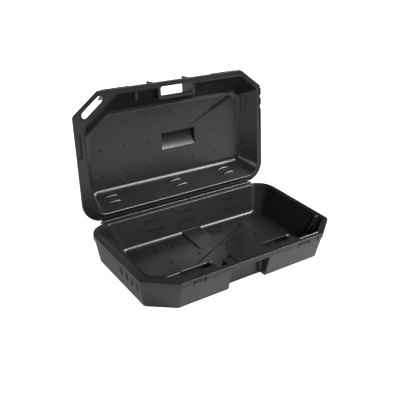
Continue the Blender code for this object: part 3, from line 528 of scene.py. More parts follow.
@dataclass(frozen=True)
class CasePlan:
    """Plan of a case half: square behind, chamfered in front."""

    left: float
    right: float
    front: float
    rear: float
    left_chamfer: Point
    right_chamfer: Point

    def corners(self) -> Outline:
        """Corners, counter-clockwise from the rear right."""
        return [
            (self.right, self.rear),
            (self.left, self.rear),
            (self.left, self.front + self.left_chamfer[1]),
            (self.left + self.left_chamfer[0], self.front),
            (self.right - self.right_chamfer[0], self.front),
            (self.right, self.front + self.right_chamfer[1]),
        ]

    def outline(self, insets: list[float], rear_radius: float, corner_radius: float) -> Outline:
        """Rounded outline after moving each wall inwards.

        Args:
            insets: distance for each wall, from the rear wall on.
            rear_radius: radius of the two rear corners.
            corner_radius: radius of the other corners.

        Returns:
            The outline.
        """
        radii = [rear_radius] * 2 + [corner_radius] * 4
        return round_corners(offset_corners(self.corners(), insets), radii, [16, 16, 8, 8, 8, 8])


# Mesh making


def new_piece(name: str, mesh_data: bmesh.types.BMesh) -> bpy.types.Object:
    """Write a bmesh into a new object of the scene.

    Args:
        name: the object's name.
        mesh_data: the shape, freed afterwards.

    Returns:
        The object.
    """
    bmesh.ops.recalc_face_normals(mesh_data, faces=mesh_data.faces)
    mesh = bpy.data.meshes.new(name)
    mesh_data.to_mesh(mesh)
    mesh_data.free()
    piece = bpy.data.objects.new(name, mesh)
    bpy.context.scene.collection.objects.link(piece)
    return piece


def loft(name: str, rings: list[Ring]) -> bpy.types.Object:
    """Make a closed solid through level outlines with equal numbers of points.

    Args:
        name: the object's name.
        rings: heights with their outlines.

    Returns:
        The object.
    """
    mesh = bmesh.new()
    loops = [[mesh.verts.new((x, y, z)) for x, y in outline] for z, outline in rings]
    count = len(loops[0])
    for lower, upper in zip(loops, loops[1:]):
        for index in range(count):
            after = (index + 1) % count
            mesh.faces.new((lower[index], lower[after], upper[after], upper[index]))
    mesh.faces.new(loops[0])
    mesh.faces.new(loops[-1])
    return new_piece(name, mesh)


def add_box(mesh: bmesh.types.BMesh, x_span: Span, y_span: Span, z_span: Span) -> None:
    """Add a box between three spans."""
    centre = Vector((sum(x_span) / 2, sum(y_span) / 2, sum(z_span) / 2))
    size = (x_span[1] - x_span[0], y_span[1] - y_span[0], z_span[1] - z_span[0], 1.0)
    bmesh.ops.create_cube(mesh, size=1.0, matrix=Matrix.Translation(centre) @ Matrix.Diagonal(size))


def soft_boxes(name: str, spans: list[tuple[Span, Span, Span]], radius: float, steps: int = 3) -> bpy.types.Object:
    """Make boxes with rounded edges, kept apart in one object.

    Args:
        name: the object's name.
        spans: X, Y and Z spans of each box.
        radius: radius of every edge, or 0 for sharp boxes.
        steps: steps round each edge.

    Returns:
        The object.
    """
    mesh = bmesh.new()
    for x_span, y_span, z_span in spans:
        add_box(mesh, x_span, y_span, z_span)
    if radius > 0:
        bmesh.ops.bevel(
            mesh, geom=list(mesh.edges), offset=radius, segments=steps, profile=0.5, affect="EDGES"
        )
    return new_piece(name, mesh)


def add_rod(
    mesh: bmesh.types.BMesh, place: Matrix, radius: float, length: float, top: float = 1.0, segments: int = 24
) -> None:
    """Add a rod or a cone frustum to a mesh.

    Args:
        mesh: the mesh.
        place: its centre and direction.
        radius: radius at its foot.
        length: length along its axis.
        top: size of its top against its foot.
        segments: steps round it.
    """
    bmesh.ops.create_cone(
        mesh,
        cap_ends=True,
        segments=segments,
        radius1=radius,
        radius2=radius * top,
        depth=length,
        matrix=place,
    )


def add_egg(mesh: bmesh.types.BMesh, place: Matrix, size: Place, segments: tuple[int, int]) -> None:
    """Add an egg-shaped ball to a mesh.

    Args:
        mesh: the mesh.
        place: its centre and direction.
        size: its three half-lengths.
        segments: steps round it and from end to end.
    """
    scale = Matrix.Diagonal((*size, 1.0))
    bmesh.ops.create_uvsphere(
        mesh, u_segments=segments[0], v_segments=segments[1], radius=1.0, matrix=place @ scale
    )


def closed_volume(mesh: bpy.types.Mesh) -> float:
    """Volume of a mesh, or 0 where it is open."""
    shape = bmesh.new()
    shape.from_mesh(mesh)
    closed = len(shape.faces) > 0 and all(len(edge.link_faces) == 2 for edge in shape.edges)
    volume = shape.calc_volume() if closed else 0.0
    shape.free()
    return volume


def work(target: bpy.types.Object, tool: bpy.types.Object, cut: Cut) -> None:
    """Join or cut one solid with another and drop the tool.

    Args:
        target: the solid that changes.
        tool: the solid used up.
        cut: whether the tool is added or removed.
    """
    before = target.data
    least = closed_volume(before) * (0.99 if cut is Cut.ADD else 0.2)
    for solver in ("EXACT", "MANIFOLD"):
        target.data = before
        modifier = target.modifiers.new("work", "BOOLEAN")
        modifier.operation = cut.value
        modifier.solver = solver
        modifier.object = tool
        settle(target)
        if closed_volume(target.data) > least:
            break
        LOG.info("%s with %s on %s left it open", solver, tool.name, target.name)
    bpy.data.objects.remove(tool, do_unlink=True)


def settle(piece: bpy.types.Object) -> None:
    """Turn a piece's modifiers into its mesh."""
    graph = bpy.context.evaluated_depsgraph_get()
    graph.update()
    mesh = bpy.data.meshes.new_from_object(piece.evaluated_get(graph))
    piece.modifiers.clear()
    piece.data = mesh


def level_faces(mesh: bpy.types.Mesh) -> None:
    """Give the corners of each broad flat face the face's own normal."""
    normals = [corner.vector.copy() for corner in mesh.corner_normals]
    for face in mesh.polygons:
        corners = [mesh.vertices[index].co for index in face.vertices]
        longest = max((one - two).length for one, two in zip(corners, corners[1:] + corners[:1]))
        if face.area > BROAD_FACE * longest:
            for index in face.loop_indices:
                normals[index] = face.normal.copy()
    mesh.normals_split_custom_set(normals)


def finish_surface(piece: bpy.types.Object, material: bpy.types.Material, sharp: float = 28.0) -> None:
    """Clean a moulding, shade it and dress it.

    Args:
        piece: the moulding.
        material: its finish.
        sharp: angle in degrees above which an edge stays sharp.
    """
    mesh = bmesh.new()
    mesh.from_mesh(piece.data)
    bmesh.ops.remove_doubles(mesh, verts=mesh.verts, dist=MERGE_DISTANCE)
    bmesh.ops.dissolve_degenerate(mesh, edges=mesh.edges, dist=MERGE_DISTANCE)
    bmesh.ops.dissolve_limit(mesh, angle_limit=FLAT_ANGLE, verts=mesh.verts, edges=mesh.edges, delimit=set())
    thin = set()
    for face in mesh.faces:
        face.smooth = True
        if face.calc_area() < THIN_FACE * max(edge.calc_length() for edge in face.edges):
            thin.add(face)
    for edge in mesh.edges:
        broad = edge.is_manifold and not thin.intersection(edge.link_faces)
        edge.smooth = not (broad and edge.calc_face_angle(0.0) > math.radians(sharp))
    mesh.to_mesh(piece.data)
    mesh.free()
    weighted = piece.modifiers.new("even_normals", "WEIGHTED_NORMAL")
    weighted.keep_sharp = True
    weighted.weight = NORMAL_WEIGHT
    settle(piece)
    level_faces(piece.data)
    piece.data.materials.clear()
    piece.data.materials.append(material)


@dataclass(frozen=True)
class Dish:
    """A dished hollow: sloped walls meeting a floor in a wide fillet."""

    plan: CasePlan
    slopes: tuple[float, ...]
    depth: float
    fillet: float
    corner: float
    way: Way
    steps: int = 12

    def inset(self, depth: float, slope: float) -> float:
        """How far a wall has come in at a depth.

        Args:
            depth: distance from the mouth.
            slope: the wall's angle from upright in degrees.

        Returns:
            The inset.
        """
        angle = math.radians(slope)
        foot = self.depth * math.tan(angle)
        tangent = self.fillet * math.tan((math.pi / 2 - angle) / 2)
        if depth <= self.depth - tangent * math.cos(angle):
            return depth * math.tan(angle)
        rise = depth - (self.depth - self.fillet)
        return foot + tangent - math.sqrt(max(self.fillet * self.fillet - rise * rise, 0.0))

    def depths(self) -> list[float]:
        """Depths of the rings, close together round the fillet."""
        start = math.radians(min(self.slopes))
        levels = []
        for step in range(self.steps + 1):
            angle = start + (math.pi / 2 - start) * step / self.steps
            levels.append(self.depth - self.fillet + self.fillet * math.sin(angle))
        return levels

    def ring(self, depth: float, mouth: float, swell: float) -> Ring:
        """One ring of the dish.

        Args:
            depth: distance from the mouth.
            mouth: height of the mouth.
            swell: how much bigger than the dish the ring is.

        Returns:
            The height and outline.
        """
        insets = [self.inset(max(depth, 0.0), slope) - swell for slope in self.slopes]
        rear = max(self.corner - 0.45 * max(insets), 0.008)
        front = max(0.012 + 0.2 * max(insets), 0.008)
        return mouth - self.way.value * depth, self.plan.outline(insets, rear, front)

    def rings(self, mouth: float, swell: float = 0.0, lip: float = 0.0) -> list[Ring]:
        """All rings from just outside the mouth to the floor.

        Args:
            mouth: height of the mouth.
            swell: how much bigger than the dish the solid is.
            lip: radius that the mouth's edge is rounded to.

        Returns:
            The rings.
        """
        found = []
        if lip > 0:
            found.append(self.ring(-0.002, mouth, swell + lip * 1.02))
            found += [self.ring(fall, mouth, swell + out) for fall, out in rounding(lip)[1:]]
        else:
            found.append(self.ring(-0.002, mouth, swell))
        found += [self.ring(depth, mouth, swell) for depth in self.depths()]
        return found


# The case outline that both halves share


@dataclass(frozen=True)
class CaseOutside:
    """Outer plan that the base and the lid share."""

    length: float = 0.460
    depth: float = 0.263
    chamfer: Point = (0.057, 0.043)
    rear_radius: float = 0.042
    corner_radius: float = 0.010

    def plan(self) -> CasePlan:
        """Plan of the outside."""
        half_x = self.length / 2
        half_y = self.depth / 2
        return CasePlan(-half_x, half_x, -half_y, half_y, self.chamfer, self.chamfer)

    def ring(self, height: float, inset: float) -> Ring:
        """Ring of the outside at a height, moved inwards evenly."""
        radius = self.rear_radius - inset * 0.6
        return height, self.plan().outline([inset] * 6, radius, self.corner_radius)


@dataclass(frozen=True)
class HingeRow:
    """Row of knuckles along the rear edge."""

    axis: Place
    span: float = 0.380
    count: int = 9
    radius: float = 0.0032
    hole: float = 0.00185
    gap: float = 0.0006

    def spans(self, owner: int) -> list[Span]:
        """X spans of the knuckles of the base (0) or the lid (1)."""
        pitch = self.span / self.count
        starts = [-self.span / 2 + index * pitch for index in range(owner, self.count, 2)]
        return [(start + self.gap / 2, start + pitch - self.gap / 2) for start in starts]

    def add_to(self, piece: bpy.types.Object, owner: int, web: Span, edge: float) -> None:
        """Mould one half's knuckles and their webs on to a piece.

        Args:
            piece: the moulding.
            owner: 0 for the base, 1 for the lid.
            web: Z span of the webs.
            edge: Y of the rim the webs grow from.
        """
        mesh = bmesh.new()
        for start, end in self.spans(owner):
            add_rod(mesh, lying((start + end) / 2, *self.axis[1:]), self.radius, end - start)
        tool = new_piece("knuckles", mesh)
        reach = (edge - 0.003, self.axis[1] + 0.0006)
        webs = [(span, reach, web) for span in self.spans(owner)]
        work(tool, soft_boxes("webs", webs, 0.0), Cut.ADD)
        work(piece, tool, Cut.ADD)

    def bore(self, piece: bpy.types.Object) -> None:
        """Drill the rod's hole through a piece."""
        mesh = bmesh.new()
        add_rod(mesh, lying(0.0, *self.axis[1:]), self.hole, 0.460)
        work(piece, new_piece("rod_bore", mesh), Cut.REMOVE)


# Base


@dataclass
class BaseTub:
    """Twin-wall base: skirt, rim, land and the dish that holds the bait."""

    hinge: HingeRow
    outside: CaseOutside = CaseOutside()
    height: float = 0.060
    wall: float = 0.0028
    floor: float = 0.0032
    band: float = 0.011
    step: float = 0.002
    foot_inset: float = 0.0105
    foot_radius: float = 0.0014
    top_plate: float = 0.003
    lip: float = 0.0014
    band_sink: float = 0.0014
    rim_width: float = 0.0074
    lip_width: float = 0.0022
    front_lip: float = -0.0945
    recess_x: Span = (-0.057, 0.033)
    recess_back: float = -0.106
    bay_x: Span = (-0.083, -0.061)
    bay_front: float = -0.120
    gap_x: Span = (-0.083, -0.042)
    gap_front: float = -0.1025
    bay_floor: float = 0.020
    side_bay_floor: float = 0.024
    slot_y: Span = (-0.1096, -0.0968)
    slot_x: tuple[Span, Span] = ((-0.150, -0.091), (0.037, 0.098))
    lock: Point = (-0.098, 0.049)

    def dish(self) -> Dish:
        """The cavity in the base."""
        plan = CasePlan(-0.2085, 0.218, self.front_lip, 0.1235, (0.0275, 0.0191), (0.040, 0.034))
        side = 29.0
        slopes = (side, side, side * 0.8, 14.0, side * 0.8, side)
        return Dish(plan, slopes, self.height - self.floor, 0.014, 0.034, Way.DOWN)

    def wall_inset(self, height: float) -> float:
        """How far the skirt has drafted in at a height."""
        band_foot = self.height - self.band
        return self.foot_inset - (self.foot_inset - self.step) * min(height, band_foot) / band_foot

    def skirt(self) -> bpy.types.Object:
        """Outer form with a rounded foot, a drafted wall and the rim band."""
        rings = []
        for height, out in rounding(self.foot_radius):
            rings.append(self.outside.ring(height, self.wall_inset(height) + out))
        band_foot = self.height - self.band
        rings.append(self.outside.ring(band_foot - 0.0010, self.wall_inset(band_foot)))
        rings.append(self.outside.ring(band_foot - 0.0003, self.step - 0.0002))
        rings.append(self.outside.ring(band_foot + 0.0002, 0.0006))
        rings.append(self.outside.ring(band_foot + 0.0009, 0.0))
        rings += [self.outside.ring(self.height - fall, inset) for inset, fall in rounding(self.lip)]
        return loft("base_tub_moulding", rings)

    def sunk_band(self) -> bpy.types.Object:
        """Cutter that sinks the top face between the outer rim and the cavity's lip."""
        bottom = self.height - self.band_sink
        rings = [
            self.outside.ring(bottom, self.rim_width + 0.0006),
            self.outside.ring(self.height + 0.002, self.rim_width),
        ]
        cutter = loft("sunk_band", rings)
        dish = self.dish()
        bead = [(0.055, 0.0017), (bottom - 0.0001, 0.0017)]
        bead += [(bottom + 0.0005, 0.0012), (bottom + 0.0009, 0.0006), (bottom + 0.0012, -0.0001)]
        bead += [(self.height + 0.0001, -0.0007), (0.070, -0.0007)]
        keep = [dish.ring(0.0, height, self.lip_width + swell) for height, swell in bead]
        work(cutter, loft("lip_keep", keep), Cut.REMOVE)
        bay = [(height, self.side_bay_outline(1.0, self.lip_width + swell)) for height, swell in bead]
        work(cutter, loft("bay_lip_keep", bay), Cut.REMOVE)
        shelf = soft_boxes("shelf_keep", [((-0.0425, 0.0345), (-0.130, -0.090), (0.050, 0.070))], 0.0)
        work(cutter, shelf, Cut.REMOVE)
        edges = []
        for x_span in self.slot_x:
            y_wide = (self.slot_y[0] - 0.0022, self.slot_y[1] + 0.003)
            edges.append((widen(x_span, 0.0022), y_wide, (0.050, 0.070)))
        work(cutter, soft_boxes("slot_keep", edges, 0.0), Cut.REMOVE)
        return cutter

    def hollow(self) -> bpy.types.Object:
        """Cutter for the space between the skirt and the dish, open below."""
        band_foot = self.height - self.band
        rings = [
            self.outside.ring(-0.003, self.wall_inset(0.0) + self.wall),
            self.outside.ring(band_foot, self.step + self.wall),
            self.outside.ring(self.height - self.top_plate, self.step + self.wall),
        ]
        cutter = loft("hollow", rings)
        dish_rings = self.dish().rings(self.height, self.wall * 1.1)
        dish_rings.append((-0.004, dish_rings[-1][1]))
        work(cutter, loft("dish_keep", dish_rings), Cut.REMOVE)
        top = self.height - self.top_plate / 2
        wall = self.wall
        keeps = {
            "recess_keep": (widen(self.recess_x, wall), (-0.150, self.recess_back + wall), (-0.005, top)),
            "bay_keep": (widen(self.bay_x, wall), (self.bay_front - wall, -0.085), (self.bay_floor - wall, top)),
        }
        for name, spans in keeps.items():
            work(cutter, soft_boxes(name, [spans], 0.0), Cut.REMOVE)
        side = [
            (self.side_bay_floor - wall, self.side_bay_outline(0.0, wall)),
            (top, self.side_bay_outline(1.0, wall)),
        ]
        work(cutter, loft("side_bay_keep", side), Cut.REMOVE)
        work(cutter, self.stiffeners(), Cut.REMOVE)
        return cutter

    def stiffeners(self) -> bpy.types.Object:
        """Ribs left standing between the two walls."""
        half = 0.00125
        heights = (0.010, self.height)
        spans = []
        for x in (-0.150, -0.075, 0.0, 0.075, 0.150):
            spans.append((about(x, half), (0.060, 0.1315), heights))
        for y in (-0.060, -0.020, 0.020, 0.060, 0.095):
            spans += [(x_span, about(y, half), heights) for x_span in ((-0.230, -0.170), (0.170, 0.230))]
        for x in (-0.165, 0.110, 0.165):
            spans.append((about(x, half), (-0.1315, -0.070), heights))
        return soft_boxes("stiffeners", spans, 0.0)

    def cavity(self) -> bpy.types.Object:
        """Cutter for the dish, with its raised spine and wall ribs left in."""
        cutter = loft("cavity", self.dish().rings(self.height, 0.0, self.lip))
        work(cutter, self.spine(), Cut.REMOVE)
        work(cutter, self.rear_ribs(), Cut.REMOVE)
        return cutter

    def spine(self) -> bpy.types.Object:
        """Low ramp along the middle of the floor, highest at the rear wall."""
        half = 0.0245
        top = self.floor + 0.0068
        front = 0.018
        rings = []
        for height, grow in ((-0.010, 0.0050), (self.floor + 0.0002, 0.0050), (self.floor + 0.0016, 0.0018)):
            rings.append((height, rectangle((-half - grow, half + grow), (front - grow, 0.120), 0.004)))
        for index in range(1, 6):
            angle = math.pi / 2 * index / 5
            shrink = 0.0026 * (1 - math.cos(angle))
            height = top - 0.0026 * (1 - math.sin(angle))
            rings.append((height, rectangle((-half + shrink, half - shrink), (front + shrink, 0.120), 0.004)))
        spine = loft("spine", rings)
        run = 0.052
        for vertex in spine.data.vertices:
            if vertex.co.z > self.floor:
                share = min(max((vertex.co.y - front) / run, 0.0), 1.0)
                vertex.co.z = self.floor - 0.0003 + (vertex.co.z - self.floor + 0.0003) * share
        return spine

    def rear_ribs(self) -> bpy.types.Object:
        """Pairs of level ribs on the cavity's rear wall and short ones on its right wall."""
        slope = math.tan(math.radians(29.0))
        spans = []
        for x in (-0.084, -0.001, 0.119):
            for z in (0.0455, 0.0272):
                face = 0.1235 - (self.height - z) * slope
                spans.append((about(x, 0.021), (face - 0.0016, face + 0.006), about(z, 0.0012)))
        for y, z in ((0.088, 0.030), (0.068, 0.036)):
            face = 0.218 - (self.height - z) * slope
            spans.append(((face - 0.0015, face + 0.006), about(y, 0.006), about(z, 0.0011)))
        return soft_boxes("rear_ribs", spans, 0.0007, 2)

    def recess(self) -> bpy.types.Object:
        """Cutter for the finger recess under the rim."""
        band_foot = self.height - self.band
        below = (self.recess_x, (-0.160, self.recess_back), (-0.012, band_foot))
        cutter = soft_boxes("recess", [below], 0.004, 5)
        behind = (-self.outside.depth / 2 + self.step + self.wall, self.recess_back)
        upper = soft_boxes("recess_top", [(self.recess_x, behind, (0.038, self.height - 0.0036))], 0.0015, 3)
        work(cutter, upper, Cut.ADD)
        return cutter

    def pocket(self, name: str, outline: Outline, wide: Outline, bottom: float) -> bpy.types.Object:
        """Cutter for an opening in the top face with a rounded-off edge.

        Args:
            name: the cutter's name.
            outline: the opening's outline.
            wide: the outline at the top face.
            bottom: the opening's lowest height.

        Returns:
            The cutter.
        """
        narrow = [(height, outline) for height in (bottom, self.height - 0.0013)]
        return loft(name, narrow + [(self.height + rise, wide) for rise in (0.00005, 0.002)])

    def openings(self) -> list[bpy.types.Object]:
        """Cutters for the bays, the gap in the lip and the two slots."""
        found = []
        rows = [
            ("lock_bay", self.bay_x, (self.bay_front, -0.086), self.bay_floor, 0.0025),
            ("lip_gap", self.gap_x, (self.gap_front, -0.0848), self.bay_floor, 0.0015),
        ]
        for index, x_span in enumerate(self.slot_x):
            rows.append((f"land_slot_{index}", x_span, self.slot_y, self.height - 0.012, 0.0018))
        grow = 0.0012
        for name, x_span, y_span, bottom, radius in rows:
            wide = rectangle(widen(x_span, grow), widen(y_span, grow), radius + grow)
            found.append(self.pocket(name, rectangle(x_span, y_span, radius), wide, bottom))
        found.append(self.side_bay())
        return found

    def side_bay_outline(self, share: float, swell: float) -> Outline:
        """Outline of the right-hand bay.

        Args:
            share: 0 at its floor, 1 at the top face.
            swell: how much bigger than the bay it is.

        Returns:
            The outline.
        """
        corners = [
            (0.217, -0.070), (0.112, -0.078), (0.112, -0.1085),
            (0.118, -0.1185), (0.168, -0.1185), (0.217, -0.0835),
        ]
        drafts = (0.0, 0.0, 0.001, 0.003, 0.008, 0.017)
        moved = offset_corners(corners, [draft * (1 - share) - swell for draft in drafts])
        return round_corners(moved, [0.002, 0.002, 0.004, 0.006, 0.008, 0.008], [3, 3, 5, 5, 6, 6])

    def side_bay(self) -> bpy.types.Object:
        """Cutter for the part of the cavity that runs forward on the right."""
        wide = self.side_bay_outline(1.0, self.lip * 0.6)
        edge = self.height - self.lip * 0.6
        rings = [
            (self.side_bay_floor, self.side_bay_outline(0.0, 0.0)),
            (edge, self.side_bay_outline(1.0, 0.0)),
            (self.height + 0.00005, wide),
            (self.height + 0.002, wide),
        ]
        return loft("side_bay", rings)

    def front_marks(self) -> list[bpy.types.Object]:
        """Cutters for the grooves, fine ribs, slit and hairline grooves at the front."""
        front = -self.outside.depth / 2
        deep_y = (-0.145, front + 0.0033)
        deep = [(about(x, 0.0015), deep_y, (0.039, 0.057)) for x in (-0.144, -0.119, 0.109, 0.134, 0.159)]
        fine = []
        for start, count in ((-0.1405, 7), (0.1155, 6)):
            for index in range(count):
                fine.append((about(start + index * 0.0030, 0.0006), (-0.145, front + 0.0009), (0.0505, 0.0575)))
        top = (self.height - 0.0012, self.height + 0.004)
        lines = [
            ((-0.022, 0.015), (-0.1262, -0.1252), top),
            ((-0.0405, -0.0393), (-0.1255, -0.1120), top),
            ((0.104, 0.150), (-0.1262, -0.1252), top),
        ]
        marks = {"deep_grooves": deep, "fine_grooves": fine, "lines": lines}
        return [soft_boxes(name, spans, 0.0) for name, spans in marks.items()]

    def floor_marks(self) -> bpy.types.Object:
        """Cutter for the round knock-outs in the floor."""
        mesh = bmesh.new()
        rows = {0.062: (-0.110, -0.068, 0.053, 0.107), 0.011: (-0.103, -0.036, 0.036, 0.116)}
        for y, columns in rows.items():
            for x in columns:
                add_rod(mesh, Matrix.Translation((x, y, self.floor - 0.0022 + 0.005)), 0.0034, 0.010, 1.0, 20)
        return new_piece("floor_marks", mesh)

    def grip_ribs(self) -> bpy.types.Object:
        """Upright half-round ribs on both ends."""
        mesh = bmesh.new()
        lean = math.atan((self.foot_inset - self.step) / (self.height - self.band))
        for side in (-1, 1):
            for y in (-0.008, -0.030, -0.050, -0.069):
                x = side * (self.outside.length / 2 - self.wall_inset(0.037) - 0.0019)
                place = Matrix.Translation((x, y, 0.0375)) @ Matrix.Rotation(side * lean, 4, "Y")
                add_egg(mesh, place, (0.0043, 0.0043, 0.0150), (20, 14))
        return new_piece("grip_ribs", mesh)

    def keyhole(self) -> list[bpy.types.Object]:
        """Cutters for the lock's hole and the sunk ring round it."""
        front = -self.outside.depth / 2
        turn = Matrix.Rotation(math.pi / 2, 4, "X")
        found = []
        rows = (("lock_hole", -0.130, 0.0044, 0.016), ("lock_ring", front - 0.004, 0.0056, 0.0098))
        for name, y, radius, length in rows:
            mesh = bmesh.new()
            add_rod(mesh, Matrix.Translation((self.lock[0], y, self.lock[1])) @ turn, radius, length, 1.0, 32)
            found.append(new_piece(name, mesh))
        return found

    def build(self, material: bpy.types.Material) -> bpy.types.Object:
        """Mould the whole base.

        Args:
            material: its finish.

        Returns:
            The base.
        """
        base = self.skirt()
        work(base, self.grip_ribs(), Cut.ADD)
        web = (self.height - 0.0085, self.height - 0.0004)
        self.hinge.add_to(base, 0, web, self.outside.depth / 2)
        for tool in (self.hollow(), self.sunk_band(), self.cavity(), *self.openings(), self.recess()):
            work(base, tool, Cut.REMOVE)
        for tool in (*self.front_marks(), self.floor_marks(), *self.keyhole()):
            work(base, tool, Cut.REMOVE)
        self.hinge.bore(base)
        finish_surface(base, material)
        return base


# Lid


@dataclass
class LidShell:
    """Dished lid, moulded shut and then swung open about the hinge."""

    hinge: HingeRow
    angle: float
    outside: CaseOutside = CaseOutside()
    mouth: float = 0.0609
    height: float = 0.048
    wall: float = 0.0028
    band: float = 0.006
    lip: float = 0.0013
    boss_x: Span = (-0.041, 0.049)
    boss_back: float = -0.0950
    hole_x: Span = (-0.034, 0.0415)
    hole_y: Span = (-0.1210, -0.1015)
    pocket_x: Span = (-0.014, 0.072)
    pocket_y: Span = (-0.012, 0.025)
    pocket_depth: float = 0.0108
    gusset: float = 0.0028
    pin: Point = (-0.1280, 0.0724)
    latch_x: tuple[float, float] = (-0.1320, 0.1300)
    latch_half: float = 0.026
    lug: float = 0.0030
    lug_gap: float = 0.0006
    barrel: float = 0.0031

    def dish(self) -> Dish:
        """The hollow in the lid."""
        plan = CasePlan(-0.2085, 0.217, -0.1195, 0.1190, (0.077, 0.056), (0.045, 0.034))
        slopes = (37.0, 18.0, 32.0, 43.0, 32.0, 32.0)
        return Dish(plan, slopes, self.height - self.wall, 0.018, 0.030, Way.UP)

    def panel(self) -> float:
        """Height of the panel's inside face, shut."""
        return self.mouth + self.height - self.wall

    def top(self) -> float:
        """Height of the lid's top, shut."""
        return self.mouth + self.height

    def rim(self) -> bpy.types.Object:
        """Rim band with rounded edges, joined to the skin over the dish."""
        corner = rounding(self.lip)
        rings = [self.outside.ring(self.mouth + rise, inset) for rise, inset in corner]
        rings += [self.outside.ring(self.mouth + self.band - fall, inset) for inset, fall in corner]
        lid = loft("lid_shell_moulding", rings)
        inner = self.dish()
        skin = Dish(inner.plan, inner.slopes, self.height - 0.0022, inner.fillet, inner.corner, Way.UP)
        work(lid, loft("skin", skin.rings(self.mouth + 0.0022, self.wall * 1.15)), Cut.ADD)
        return lid

    def cavity(self) -> bpy.types.Object:
        """Cutter for the hollow, stepped round the handle."""
        cutter = loft("lid_cavity", self.dish().rings(self.mouth, 0.0, self.lip))
        boss = rectangle(self.boss_x, (-0.150, self.boss_back), 0.006, 6)
        wide = rectangle(widen(self.boss_x, 0.003), (-0.150, self.boss_back + 0.003), 0.006, 6)
        rings = [(0.050, boss), (self.mouth, boss), (self.mouth + 0.030, boss), (0.130, wide)]
        work(cutter, loft("boss_keep", rings), Cut.REMOVE)
        return cutter

    def sunk_band(self) -> bpy.types.Object:
        """Cutter that sinks the rim's face between its two lips."""
        rings = [
            self.outside.ring(self.mouth - 0.002, 0.0036),
            self.outside.ring(self.mouth + 0.0013, 0.0046),
        ]
        cutter = loft("lid_sunk_band", rings)
        dish = self.dish()
        keep = [dish.ring(0.0, 0.050, 0.0018), dish.ring(0.0, self.mouth, 0.0018), dish.ring(0.0, 0.070, 0.0090)]
        work(cutter, loft("lid_lip_keep", keep), Cut.REMOVE)
        wide = rectangle(widen(self.hole_x, 0.003), (self.hole_y[0] - 0.003, -0.080), 0.005)
        for name, outline in (("hole_lip_keep", wide), ("slot_lip_keep", self.carry_slot(0.003))):
            work(cutter, loft(name, [(0.050, outline), (0.070, outline)]), Cut.REMOVE)
        return cutter

    def carry_slot(self, grow: float) -> Outline:
        """Outline of the oval slot in the left chamfer, made bigger all round."""
        angle = math.atan2(-self.outside.chamfer[1], self.outside.chamfer[0])
        return capsule((-0.1874, -0.1013), 0.056 + 2 * grow, 0.015 + 2 * grow, angle)

    def flared_hole(self, name: str, inner: Outline, wide: Outline, top: float) -> bpy.types.Object:
        """Cutter for a hole through the rim with its edge eased on the mouth side."""
        eased = [(self.mouth - 0.003, wide), (self.mouth - 0.00005, wide)]
        return loft(name, eased + [(self.mouth + 0.0007, inner), (top, inner)])

    def holes(self) -> list[bpy.types.Object]:
        """Cutters for the handle hole, the recess in front of it and the oval slot."""
        grow = 0.0006
        inner = rectangle(self.hole_x, self.hole_y, 0.004, 6)
        wide = rectangle(widen(self.hole_x, grow), widen(self.hole_y, grow), 0.0046, 6)
        hole = self.flared_hole("handle_hole", inner, wide, self.mouth + self.band + 0.001)
        inner_x = (self.boss_x[0] + self.wall, self.boss_x[1] - self.wall)
        behind = (self.mouth + self.band, self.top() + 0.020)
        recess = soft_boxes("handle_recess", [(inner_x, (-0.160, self.boss_back - self.wall), behind)], 0.0015)
        slot = self.flared_hole("carry_slot", self.carry_slot(0.0), self.carry_slot(grow), self.mouth + 0.030)
        return [recess, hole, slot]

    def crescents(self) -> bpy.types.Object:
        """Pairs of half-moon ribs on the rear wall."""
        mesh = bmesh.new()
        slope = math.radians(37.0)
        for pair in ((-0.156, -0.154), (0.004, 0.014), (0.137, 0.146)):
            for x, depth in zip(pair, (0.0292, 0.0173)):
                centre = (x, 0.1190 - depth * math.tan(slope), self.mouth + depth)
                place = Matrix.Translation(centre) @ Matrix.Rotation(slope + 0.02, 4, "X")
                ball = bmesh.ops.create_uvsphere(mesh, u_segments=36, v_segments=15, radius=1.0)
                for vertex in ball["verts"]:
                    bow = 0.0030 * (1 - vertex.co.x ** 2)
                    bent = (vertex.co.x * 0.0185, vertex.co.y * 0.0036, vertex.co.z * 0.0052 + bow)
                    vertex.co = place @ Vector(bent)
        return new_piece("crescents", mesh)

    def side_ribs(self) -> bpy.types.Object:
        """Long and short rib pairs on the right wall."""
        mesh = bmesh.new()
        slope = math.radians(32.0)
        rows = (
            (0.0212, -0.0545, 0.0205), (0.0323, -0.0540, 0.0200),
            (0.0214, 0.0545, 0.0075), (0.0321, 0.0420, 0.0075),
        )
        for depth, y, half in rows:
            centre = (0.217 - depth * math.tan(slope), y, self.mouth + depth)
            place = Matrix.Translation(centre) @ Matrix.Rotation(-slope, 4, "Y")
            add_egg(mesh, place, (0.0024, half, 0.0030), (21, 15))
        return new_piece("side_ribs", mesh)

    def panel_pocket(self) -> bpy.types.Object:
        """Cutter for the scooped pocket, deep at the front edge and curving up behind."""
        base = self.panel()
        steps = 14
        mesh = bmesh.new()
        profile = [(self.pocket_y[0], base - 0.004)]
        for index in range(steps + 1):
            share = index / steps
            y = self.pocket_y[0] + (self.pocket_y[1] - self.pocket_y[0]) * share
            profile.append((y, base + self.pocket_depth * (1 - share ** 1.8) + 0.0003))
        profile.append((self.pocket_y[1], base - 0.004))
        face = mesh.faces.new([mesh.verts.new((self.pocket_x[0], y, z)) for y, z in profile])
        swept = bmesh.ops.extrude_face_region(mesh, geom=[face])
        moved = [item for item in swept["geom"] if isinstance(item, bmesh.types.BMVert)]
        bmesh.ops.translate(mesh, verts=moved, vec=(self.pocket_x[1] - self.pocket_x[0], 0, 0))
        return new_piece("panel_pocket", mesh)

